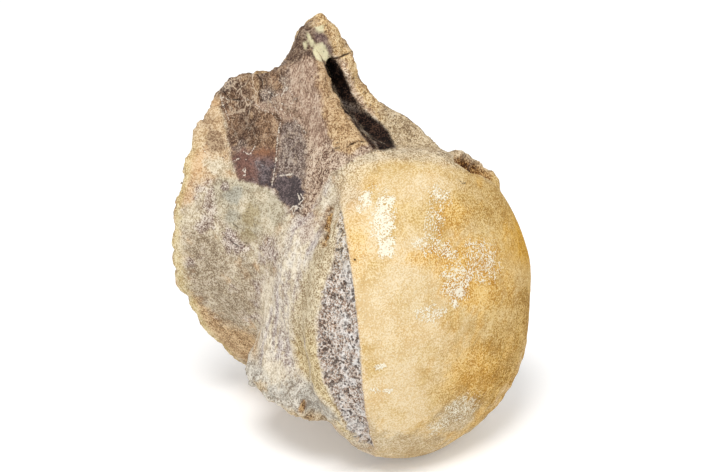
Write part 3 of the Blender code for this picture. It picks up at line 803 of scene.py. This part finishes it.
def relief(s):
    """How far each point moves out along its normal."""
    matt = 1 - s.region(GLOSS_OUTLINE, 2) - s.region(DARK_FACET_OUTLINE, 2)
    rise = 0.2 * s.mid * s.body
    rise = rise + 0.15 * s.small * (0.3 + 0.7 * s.body * np.clip(matt, 0.1, 1)) + 0.05 * s.tiny
    hollows = step(0.45, 0.8, noise(s.p, 1.9, 19))
    rise += s.hidden * s.body * (0.28 * noise(s.p, 3.6, 18) - 0.5 * hollows)

    # The joint surface stands proud of the worn crescent, with a crisp lip.
    lip = step(-0.35, 0.25, s.dome_depth) * step(3.5, 0, s.dome_depth)
    rise += LIP_RISE * lip * s.seen * step(*DOME_LEFT_X, s.px)
    pore, _, pore_own = cells(s.p * np.array((1, 1, 0.8)), 1, 5)
    rise -= s.spongy * (SPONGE_WEAR + SPONGE_PORES * step(0.5, 0.15, pore) * step(0.25, 0.45, pore_own))

    # Broken edges and stumps: lumps, then small angular chips.
    rise += s.crest * CREST_LUMPS * noise(s.p, 3.4, 15) * (1 - s.canal)
    rise += s.broken * (EDGE_CHIPS * s.chips + 0.25 * s.tiny)
    stone = s.chips + 0.8 * noise(s.p, 2.6, 16)
    rise += s.stump * stone + 0.6 * s.rim * (1 - s.cup) * stone
    rise += s.cup * (0.6 * fractal(s.p, 6, 41) + 0.3 * s.chips)

    # Lengthwise striations of the pillar, and fine ones up the arch.
    rise += s.pillar * (0.26 * s.grooves + 0.12 * s.threads)
    rise += s.arch * matt * (1 - s.broken) * (0.1 * s.grooves + 0.07 * s.threads)
    rise += s.arch * matt * (1 - s.broken) * 0.22 * s.chips

    cracked = np.maximum(s.crack, s.hidden_crack)
    rise += RIDGE_RISE * s.ridge + SEAM_RISE * s.seam - CRACK_DEPTH * cracked - DOT_DEPTH * s.dot
    for height, reach, line in KNOBS:
        rise += height * step(reach, KNOB_CORE, distance_to_line(line, s.d)) * (1 + 0.2 * s.small)
    rise -= s.pit * (1.2 + 0.5 * s.tiny)
    rise -= s.streak * (0.7 + 0.4 * s.tiny)
    worn_edge = s.dome * s.turned * step(*WORN_EDGE_X, s.px) * step(*DOME_LOW_Y, s.py)
    rise += WORN_EDGE_LUMPS * worn_edge * noise(s.p, 2.8, 29)
    rise += 0.5 * s.region(LIP_OUTLINE, 2) * noise(s.p, 2.4, 17)

    # The worn flats on the ground stay flat.
    return rise * step(*FLAT_HEIGHTS, s.p[:, 2])


# ---------------- paint

class Coat:
    """A kind of surface on every point, with other kinds laid over it one after another."""

    def __init__(self, s, base):
        self.s = s
        self.rows = np.tile(base, (len(s.p), 1))

    def lay(self, over, weight):
        weight = np.clip(weight, 0, 1)[:, None]
        self.rows = self.rows * (1 - weight) + over * weight

    def lay_marks(self, marks):
        s = self.s
        for over, strength, *mark in marks:
            self.lay(over, strength * s.seen * mark_at(s.q, MARK_RAGGED * s.ragged, *mark))

    def give_way(self, other, weight):
        """Blends towards another coat."""
        self.rows = self.rows + (other.rows - self.rows) * weight[:, None]


def flank_coat(s):
    """Mottled rock-like bone of the waist, the cotyle's margin and the stumps."""
    _, y, z = s.d.T
    coat = Coat(s, FLANK)
    lay = coat.lay
    lay(FLANK_CREAM, 0.8 * step(0.05, 0.5, s.mid + 0.5 * s.small))
    lay(FLANK_GREY, 0.7 * step(0.1, 0.55, -s.mid + 0.6 * s.small))
    lay(ORANGE_BLUSH, 0.5 * step(0.25, 0.7, fractal(s.p, 9, 21)) * s.hidden)
    lay(LILAC_SPOTS, 0.7 * step(0.15, 0.6, fractal(s.p, 5, 22)))
    lay(ORANGE_BLUSH, 0.5 * step(0.2, 0.7, fractal(s.p, 4, 23)))
    lay(MARGIN_TAN, 0.8 * s.hidden * step(17, 25, y + 2.5 * s.mid) * step(50, 62, z))
    lay(RIM_BROWN, 0.85 * s.hidden * step(15, 24, y + 2.5 * s.mid) * step(36, 26, z))
    lay(MARGIN_TAN, 0.7 * s.region(MARGIN_OUTLINE, 5, 2))
    lay(RIM_BROWN, 0.9 * s.region(RIM_LOW_OUTLINE, 5, 2))
    coat.lay_marks(FLANK_MARKS)
    rim_edge = step(22.8, 25.6, y + 0.9 * s.mid + 0.5 * s.small)
    lay(RIM_YELLOW, 0.8 * rim_edge * (1 - s.cup) * step(80, 70, z))

    lay(GREEN, 0.9 * s.region(GREEN_OUTLINE, 5, 1.5))
    coat.lay_marks(GREEN_MARKS)

    lay(PILLAR, 0.9 * s.pillar)
    lay(PILLAR_LILAC, 0.9 * s.pillar * step(0, 0.5, -s.grooves + 0.5 * s.small))
    lay(PILLAR_CREAM, 0.9 * s.pillar * step(0.05, 0.5, s.grooves + 0.6 * s.small))
    band = s.region(TAN_OUTLINE, 3.5, 1.5)
    lay(TAN, 0.95 * band)
    lay(TAN_YELLOW, 0.8 * band * step(*TAN_YELLOW_Y, s.py + 8 * s.mid))
    lay(PIT_BROWN, s.streak * step(-0.9, 0.1, s.small + 0.4 * s.tiny))
    lay(PILLAR_CREAM, 0.75 * s.ridge)

    lay(STUMP, 0.9 * s.stump)
    lay(STUMP_BLUE, 0.7 * s.stump * step(0, 0.5, s.mid + 0.4 * s.small))
    lay(STUMP_BLUE, 0.8 * s.region(STUMP_FACE_OUTLINE, 3))
    lay(STUMP_TAN, 0.8 * s.stump * step(19.5, 17, z + s.mid))
    lay(PIT_BROWN, 0.8 * s.stump * s.hidden * step(0.5, 0.8, -noise(s.p, 2.6, 16)))
    coat.lay_marks(BODY_MARKS)

    lay(MATRIX, s.cup)
    lay(ARCH_FOOT, 0.6 * s.cup * step(0.25, 0.7, s.broad + 0.4 * s.small))
    lay(FLANK_CREAM, 0.8 * s.cup * step(0, 0.6, fractal(s.p, 6, 24)))
    lay(DOME_OCHRE, 0.7 * s.cup * step(0, 0.6, fractal(s.p, 11, 28) + 0.3 * s.small))
    lay(SPOTTED_BROWN, 0.6 * s.cup * step(0.35, 0.7, fractal(s.p, 4, 26)))
    ring = s.cup * step(21.5, 27, y + 1.8 * s.mid + 0.8 * s.small)
    lay(MARGIN_TAN, 0.9 * ring)
    lay(RIM_BROWN, 0.7 * ring * step(44, 32, z + 3 * s.mid))

    lay(NECK, 0.9 * s.neck)
    lay(NECK_GREY, 0.9 * s.neck * step(-0.1, 0.5, s.mid + 0.6 * s.small))
    return coat


def arch_coat(s):
    """Brown, lilac and glossy purple bone of the neural arch with its ochre breaks, and painted shade in
    its canal.
    """
    coat = Coat(s, ARCH)
    lay = coat.lay
    lay(ARCH_DEEP, step(-0.1, 0.3, s.small + 0.5 * s.mid))
    lay(ARCH_TAN, 0.5 * step(0.25, 0.6, fractal(s.p, 2.6, 27)))
    lay(ARCH_GREY, 0.7 * step(0.1, 0.6, s.mid - 0.4 * s.small))
    lay(ARCH_RUST, 0.5 * step(0.15, 0.6, fractal(s.p, 4, 25)))
    foot = 0.95 * s.seen * step(*ARCH_FOOT_X, s.px + 3 * s.ragged)
    lay(ARCH_FOOT, foot * step(*ARCH_FOOT_Y, s.py))
    coat.lay_marks(ARCH_MARKS)
    lay(GREY_PURPLE, 0.9 * s.region(GREY_ZONE_OUTLINE, 3))
    pink = s.region(PINK_OUTLINE, 6, 2)
    lay(PINK, 0.95 * pink)
    lay(ARCH_TAN, 0.95 * s.region(EDGE_TAN_OUTLINE, 5, 2))

    gloss = s.region(GLOSS_OUTLINE, 4, 2)
    lay(GLOSS_RED, gloss * step(*GLOSS_RED_Y, s.py + 5 * s.mid + 3 * s.small))
    rust = s.region(RUST_OUTLINE, 7, 1.5)
    lay(GLOSS_RUST, gloss * rust)
    lay(ARCH_RUST, 0.8 * rust * (1 - gloss))
    purple = step(*PURPLE_X, s.px + 3 * s.small) * step(*PURPLE_Y, s.py + 3 * s.small)
    lay(GLOSS_PURPLE, gloss * np.maximum(purple, step(*PURPLE_FOOT_Y, s.py) * 0.7))
    facet = s.region(DARK_FACET_OUTLINE, 3, 2)
    lay(GLOSS_PURPLE, facet)

    peak = s.region(PEAK_OUTLINE, 2, 0.8)
    lay(PEAK, np.maximum(peak, s.hidden * step(97, 99.5, s.d[:, 2])))
    ochre = s.seen * step(*OCHRE_TOP_Y, s.py + 2 * s.ragged)
    lay(BREAK_OCHRE, 0.9 * (ochre * step(*OCHRE_TOP_X, s.px + 2 * s.ragged)))
    lay(PEAK_DARK, s.region(PEAK_BAND_OUTLINE, 1.6, 0.6))

    lay(BREAK_OCHRE, 0.95 * s.broken)
    lay(ARCH_TAN, 0.5 * s.broken * step(0.6, 0.8, s.facet_tone))
    lay(ARCH_TAN, 0.7 * s.region(EDGE_TAN_OUTLINE, 4, 1.5) * (1 - s.canal))
    lay(NECK_GREY, 0.7 * (s.seen * s.broken * step(*FAR_BREAK_X, s.px + 4 * s.mid)))
    lay(BREAK_LILAC, 0.9 * s.region(FAR_STRIP_OUTLINE, 2.5) * (1 - s.slot))

    # Painted shade inside the canal, with fibres in shade in the slot's lower part.
    lay(CANAL_SHADE, s.canal)
    fibres = s.region(SLOT_FIBRES_OUTLINE, 3) * step(0, 0.5, s.threads + 0.6 * s.tiny)
    lay(CANAL_FIBRES_IN_SHADE, 0.9 * fibres)
    for outline in PUTTY_OUTLINES:
        lay(PUTTY, s.region(outline, 1, 0.5))
    s.gloss = np.clip(gloss + facet, 0, 1) * s.arch
    web = s.seen * step(*WEB_X, s.px) * step(*WEB_Y, s.py + 6 * s.mid) * (1 - peak)
    web = np.maximum(web, 0.4 * (1 - s.broken) * (1 - s.canal) * (1 - pink))
    s.web = s.arch * web * (1 - s.gloss)
    fibre = np.clip(0.45 * s.arch + 0.55 * pink, 0, 0.9)
    s.fibre = fibre * (1 - 0.3 * s.broken) * (1 - s.gloss)
    return coat


def dome_coat(s):
    """Cream to ochre joint surface of the condyle."""
    z = s.d[:, 2]
    coat = Coat(s, DOME_PALE)
    lay = coat.lay
    lay(DOME_OCHRE, step(-0.3, 0.5, s.broad + 0.5 * s.mid))
    right = 0.6 + s.turned * (step(*DOME_RIGHT_X, s.px + 14 * s.mid) - 0.6)
    lay(DOME_OCHRE, 0.8 * right)
    low = step(60, 30, z + 5 * s.mid)
    low = low + s.turned * (step(*DOME_LOW_Y, s.py + 14 * s.mid) - low)
    lay(DOME_DEEP, 0.9 * right * low)
    lay(DOME_DEEP, 0.7 * right * s.turned * step(*DOME_HIGH_Y, s.py))
    lay(DOME_ORANGE, 0.6 * step(0.15, 0.7, fractal(s.p, 7, 31)) * (0.25 + 0.75 * right))
    coat.lay_marks(DOME_MARKS)
    edge = step(*DOME_EDGE_X, s.px + 5 * s.mid + 4 * s.small) * step(*DOME_EDGE_Y, s.py + 6 * s.mid)
    lay(DOME_EDGE, 0.95 * edge * s.turned * step(*DOME_EDGE_TOP_Y, s.py))
    rim = s.turned * step(*DOME_RIM_X, s.px + 5 * s.mid) * step(*DOME_RIM_Y, s.py)
    lay(DOME_DEEP, 0.95 * rim)
    lay(DOME_LIP, 0.6 * s.region(LIP_OUTLINE, 2) * step(-0.4, 0.4, s.small + 0.5 * s.mid))
    lay(DOME_FOOT, 0.85 * s.hidden * step(14, 6, z + 2 * s.mid))
    hidden = step(2.4, 0.4, s.dome_depth + 0.5 * s.small) * s.hidden
    shown = s.seen * step(1.1, 0.2, s.dome_depth + 0.2 * s.small) * step(*DOME_LEFT_X, s.px)
    lay(DOME_LIP, 0.7 * np.maximum(hidden, shown))
    lay(NECK, 0.6 * s.region(NECK_OUTLINE, 7, 2.5))
    return coat


def painted(s):
    """Ten numbers for every point, and the marks that the material needs besides."""
    coat = flank_coat(s)
    lay = coat.lay
    coat.give_way(arch_coat(s), s.arch)
    # Painted shade inside the canal where the arch's coat doesn't cover it.
    lay(CANAL_SHADE, s.canal * (1 - s.arch))
    coat.give_way(dome_coat(s), s.dome)
    lay(ARCH_TAN, 0.6 * s.shoulder * step(-0.3, 0.4, s.small))
    lay(PIT_BROWN, s.pit)
    lay(ARCH_DEEP, 0.8 * s.pit * step(-0.1, 0.4, s.small + 0.6 * s.tiny))
    lay(SPONGE, s.spongy)
    left = step(*SPONGE_LEFT_X, s.px + 3 * s.mid) + step(0.1, 0.5, s.mid + 0.5 * s.small)
    patches = step(-0.1, 0.25, fractal(s.p, 4.5, 31) + 0.3 * s.small)
    lay(SPONGE_BROWN, s.spongy * np.maximum(0.8 * left, 0.85 * patches))
    lay(TAN, 0.7 * s.spongy * step(*SPONGE_TAN_Y, s.py + 10 * s.mid))
    chalk = chalk_at(s.q, CHALK_RAGGED * s.ragged) * s.seen
    hidden_chalk = 0.6 * s.hidden * s.dome * step(0.3, 0.8, fractal(s.p, 9, 33))
    marks = {
        "spongy": s.spongy,
        "gloss": s.gloss,
        "coarse": 1 - s.dome * (1 - 0.5 * step(*GRAINY_DOME_X, s.px) * s.turned),
        "chalk": np.maximum(chalk, hidden_chalk),
        "web": s.web * s.body,
        "seam": s.seam,
        "crack": np.maximum.reduce([s.crack, s.dot, s.hidden_crack]),
        "fibre": np.clip(0.6 * s.pillar + s.fibre * s.arch, 0, 0.9) * s.body * (1 - s.canal),
        "pits": s.body * (1 - s.gloss) * (1 - s.canal) * (1 - s.spongy) * (0.6 + 0.4 * s.broken),
    }
    return coat.rows, marks


# ---------------- material

CHALK_WHITE = (0.86, 0.81, 0.66, 1)
SEAM_CREAM = (0.6, 0.47, 0.34, 1)
SEAM_WHITE = (0.66, 0.58, 0.48, 1)
# Dark of the cracks and of the painted shadow line.
CRACK_AND_SHADOW_DARK = (0.045, 0.028, 0.02, 1)
PINHOLE_DARK = (0.1, 0.07, 0.05, 1)
PORE_DARK = (0.07, 0.045, 0.035, 1)
NET_PALE = (0.72, 0.68, 0.63, 1)
BUMP_HEIGHT = 0.5
BUMP_STRENGTH = 0.85
MATT_ROUGHNESS = 0.85
GLOSS_ROUGHNESS = 0.3

# Numbers of the mix node's colour sockets, which share their names with its other sockets.
MIX_A = 6
MIX_B = 7
MIX_RESULT = 2


class Value:
    """A node's output, so that the material can be written as formulas."""

    def __init__(self, nodes, socket):
        self.nodes = nodes
        self.socket = socket

    def __add__(self, other):
        return self.nodes.maths("ADD", self, other)

    def __radd__(self, other):
        return self.nodes.maths("ADD", other, self)

    def __sub__(self, other):
        return self.nodes.maths("SUBTRACT", self, other)

    def __rsub__(self, other):
        return self.nodes.maths("SUBTRACT", other, self)

    def __mul__(self, other):
        return self.nodes.maths("MULTIPLY", self, other)


class Nodes:
    """Short calls for building a node tree. Sizes are in millimetres."""

    def __init__(self, tree):
        self.tree = tree
        tree.nodes.clear()
        self.place = self.get("TexCoord", "Object")

    def put(self, socket, value):
        if isinstance(value, Value):
            self.tree.links.new(value.socket, socket)
        else:
            socket.default_value = value

    def add(self, kind, inputs=None, **settings):
        made = self.tree.nodes.new("ShaderNode" + kind)
        for name, value in settings.items():
            setattr(made, name, value)
        for name, value in (inputs or {}).items():
            self.put(made.inputs[name], value)
        return made

    def get(self, kind, output, inputs=None, **settings):
        return Value(self, self.add(kind, inputs, **settings).outputs[output])

    def maths(self, operation, *values):
        return self.get("Math", 0, dict(enumerate(values)), operation=operation)

    def vector(self, operation, *values):
        return self.get("VectorMath", 0, dict(enumerate(values)), operation=operation)

    def between(self, value, low, high, to_low=0, to_high=1):
        ends = {"Value": value, "From Min": low, "From Max": high, "To Min": to_low, "To Max": to_high}
        return self.get("MapRange", "Result", ends, interpolation_type="SMOOTHSTEP")

    def blend(self, a, b, factor):
        ends = {"Factor": factor, MIX_A: a, MIX_B: b}
        return self.get("Mix", MIX_RESULT, ends, data_type="RGBA")

    def mark(self, name, output="Fac"):
        return self.get("Attribute", output, attribute_name=name)

    def grain(self, size, detail=3, roughness=0.6, at=None):
        """Noise about zero."""
        inputs = {"Vector": at or self.place, "Scale": MM_PER_METRE / size}
        inputs |= {"Detail": detail, "Roughness": roughness}
        return self.get("TexNoise", "Fac", inputs) - 0.5

    def pores(self, size, at, feature="F1"):
        inputs = {"Vector": at, "Scale": MM_PER_METRE / size}
        return self.get("TexVoronoi", "Distance", inputs, feature=feature)

    def bent(self, size, amount, along=1):
        """Object coordinates bent by noise, then squeezed along Z so that noise there draws fibres."""
        inputs = {"Vector": self.place, "Scale": MM_PER_METRE / size, "Detail": 1}
        bend = self.get("TexNoise", "Color", inputs)
        centred = self.vector("SUBTRACT", bend, (0.5, 0.5, 0.5))
        moved = self.vector("MULTIPLY_ADD", centred, (amount * MM,) * 3, self.place)
        return self.vector("MULTIPLY", moved, (1, 1, along))


def bone_material():
    material = bpy.data.materials.new("fossil_bone_detail")
    material.use_nodes = True
    nodes = Nodes(material.node_tree)
    between, blend, mark = nodes.between, nodes.blend, nodes.mark
    grain, pores, bent = nodes.grain, nodes.pores, nodes.bent

    tint, pale, deep = (mark(name, "Color") for name in ("tint", "pale", "deep"))
    strength, fibre, gloss, spongy = (mark(name) for name in ("grain", "fibre", "gloss", "spongy"))
    rough, chalk = mark("coarse"), mark("chalk")
    fine = grain(0.38, 1, 0.5)
    grit = grain(1.5, 4, 0.68)
    blotch = grain(3.6)
    cloud = grain(9, 8, 0.74)

    # Light and dark grains, drawn out into fibres where the bone is fibrous.
    thread = grain(0.42, 2, at=bent(5, 2.6, 0.2))
    strand = grain(1.3, 2, at=bent(7, 4, 0.22))
    streak = (thread + strand * 0.6) * fibre * 1.1
    flat = 1 - rough
    even = grit * rough + fine * (1.2 + flat * 0.25) + cloud * (0.45 + flat * 0.55)
    speck = even * (1 - fibre * 0.45) + streak + blotch * 0.35
    light = between(speck, 0.01, 0.17) * strength
    dark = between(speck, -0.01, -0.17) * strength
    colour = blend(blend(tint, pale, light), deep, dark)

    # Net of pale mineral in the cracks of the arch.
    crooked = bent(1.6, 1.5)
    wide_net = between(pores(3.3, crooked, "DISTANCE_TO_EDGE"), 0.075, 0.02)
    fine_net = between(pores(1.5, crooked, "DISTANCE_TO_EDGE"), 0.09, 0.02)
    net = nodes.maths("MAXIMUM", wide_net, fine_net * between(blotch, 0, 0.08))
    patchy = between(grain(2.4) + fine * 0.6, -0.12, 0.08)
    colour = blend(colour, SEAM_CREAM, net * patchy * mark("web") * 0.85)
    seam = between(mark("seam") + fine * 1.6, 0.45, 0.75)
    colour = blend(colour, SEAM_WHITE, seam * 0.9)

    # Dark pinholes, and cracks with a painted shadow line.
    pinhole = between(pores(1.1, bent(2, 0.8)), 0.26, 0.12)
    pinhole = pinhole * between(grain(2.1, 2), 0, 0.12) * mark("pits")
    colour = blend(colour, PINHOLE_DARK, pinhole * 0.85)
    crack = between(mark("crack") + fine * 1.2, 0.4, 0.75)
    colour = blend(colour, CRACK_AND_SHADOW_DARK, crack * 0.9)

    # Spongy bone: dark pores of two sizes in a pale net, thicker in some clumps.
    ragged = bent(0.9, 0.6, 0.8)
    wide = between(pores(1.25, ragged), 0.42, 0.28)
    narrow = between(pores(0.78, ragged), 0.42, 0.26)
    clump = between(grain(2.8), -0.05, 0.1)
    hole = nodes.maths("MAXIMUM", wide * (0.2 + clump * 0.8), narrow * (0.6 + clump * 0.4))
    net = between(fine + grit * 0.6, -0.02, 0.08) * (0.95 - clump * 0.5)
    sponge = blend(blend(colour, NET_PALE, net), PORE_DARK, hole * 0.85)
    colour = blend(colour, sponge, spongy)

    # Chalky patches, thin and grainy towards their borders.
    cover = chalk * 0.5 + (grit + fine * 2.2) * 0.6
    cover = between(cover, 0.34, 0.54) * between(chalk, 0.05, 0.25)
    colour = blend(colour, CHALK_WHITE, cover * 0.9)

    height = (grit + fine * 0.6) * (0.25 + strength * 1.3)
    height = height + streak * 0.9 + pinhole * -0.7 + crack * -0.9
    height = height + hole * spongy * -1.3 + cover * 0.12
    bump = nodes.get("Bump", "Normal", {
        "Strength": BUMP_STRENGTH,
        "Distance": BUMP_HEIGHT * MM,
        "Height": height * (1 - gloss * 0.8),
    })
    shader = nodes.get("BsdfPrincipled", "BSDF", {
        "Base Color": colour,
        "Roughness": between(gloss, 0.2, 0.9, MATT_ROUGHNESS, GLOSS_ROUGHNESS),
        "Specular IOR Level": 0.1 + gloss * 0.4,
        "Normal": bump,
    })
    nodes.add("OutputMaterial", {"Surface": shader})
    return material


# ---------------- the bone

BOX_MARGIN = 0.01


def store_mark(mesh, name, values):
    attribute = mesh.attributes.new(name, "FLOAT", "POINT")
    attribute.data.foreach_set("value", np.asarray(values, np.float32))


def store_colour(mesh, name, rows):
    attribute = mesh.attributes.new(name, "FLOAT_COLOR", "POINT")
    rgba = np.concatenate([rows, np.ones((len(rows), 1))], axis=1)
    attribute.data.foreach_set("color", rgba.astype(np.float32).ravel())


def dressed(node):
    mesh = smooth_copy(node)
    refine(mesh, needs_detail)
    refine(mesh, needs_most)
    s = Surface(mesh)
    add_forms(s)
    add_textures(s)
    add_lines(s)
    moved = s.p + s.n * relief(s)[:, None]
    low, high = (np.array(corner) / MM for corner in cad_box)
    moved = np.clip(moved, low + BOX_MARGIN, high - BOX_MARGIN)
    mesh.vertices.foreach_set("co", (moved * MM).astype(np.float32).ravel())
    mesh.update()
    mesh.shade_smooth()

    # A coat's ten numbers are three colours and the grains' strength.
    coat, marks = painted(s)
    for k, name in enumerate(("tint", "pale", "deep")):
        store_colour(mesh, name, coat[:, 3 * k:3 * k + 3])
    store_mark(mesh, "grain", coat[:, 9])
    for name, values in marks.items():
        store_mark(mesh, name, values)
    mesh.materials.clear()
    mesh.materials.append(bone_material())
    return add_object("fossil_vertebra", mesh)


bone = dressed(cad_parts["vertebra"])
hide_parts("vertebra")
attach(bone, "root")


# ---------------- stage, in metres

FLOOR_HALF = 3
FLOOR_GLOW = 0.16
FLOOR_ROUGHNESS = 0.9
FLOOR_COLOUR = (0.93, 0.93, 0.93, 1)
WHITE = (1, 1, 1, 1)
SKY_STRENGTH = 0.66
LAMP_AIM = (0, 0, 0.05)
NEAREST = 0.05
FURTHEST = 20


def stage():
    mesh = bpy.data.meshes.new("floor")
    corners = [(x * FLOOR_HALF, y * FLOOR_HALF, 0) for x, y in ((-1, -1), (1, -1), (1, 1), (-1, 1))]
    mesh.from_pydata(corners, [], [(0, 1, 2, 3)])
    floor = add_object("floor", mesh)
    material = bpy.data.materials.new("floor_white")
    material.use_nodes = True
    shader = material.node_tree.nodes["Principled BSDF"]
    shader.inputs["Base Color"].default_value = FLOOR_COLOUR
    shader.inputs["Roughness"].default_value = FLOOR_ROUGHNESS
    shader.inputs["Emission Color"].default_value = WHITE
    shader.inputs["Emission Strength"].default_value = FLOOR_GLOW
    mesh.materials.append(material)

    world = bpy.data.worlds.new("studio")
    bpy.context.scene.world = world
    world.use_nodes = True
    background = world.node_tree.nodes["Background"]
    background.inputs["Color"].default_value = WHITE
    background.inputs["Strength"].default_value = SKY_STRENGTH


def area_light(name, turn, rise, distance, size, power):
    data = bpy.data.lights.new(name, "AREA")
    data.shape = "DISK"
    data.size = size
    data.energy = power
    lamp = add_object(name, data)
    back = Vector(direction(math.radians(turn), math.radians(rise)))
    lamp.location = Vector(LAMP_AIM) + back * distance
    lamp.rotation_euler = (-back).to_track_quat("-Z", "Y").to_euler()


def camera():
    data = bpy.data.cameras.new("camera")
    data.lens = FOCAL_PIXELS * SENSOR / FRAME_WIDTH
    data.sensor_width = SENSOR
    data.clip_start = NEAREST
    data.clip_end = FURTHEST
    obj = add_object("camera", data)
    axes = Matrix((RIGHT, UP, BACK)).transposed()
    obj.matrix_world = Matrix.Translation(Vector(EYE * MM)) @ axes.to_4x4()
    bpy.context.scene.camera = obj


stage()
area_light("key", turn=-60, rise=60, distance=1.2, size=0.5, power=9)
area_light("fill", turn=10, rise=35, distance=1.4, size=0.8, power=1.8)
camera()
bpy.context.scene.view_settings.view_transform = "Standard"
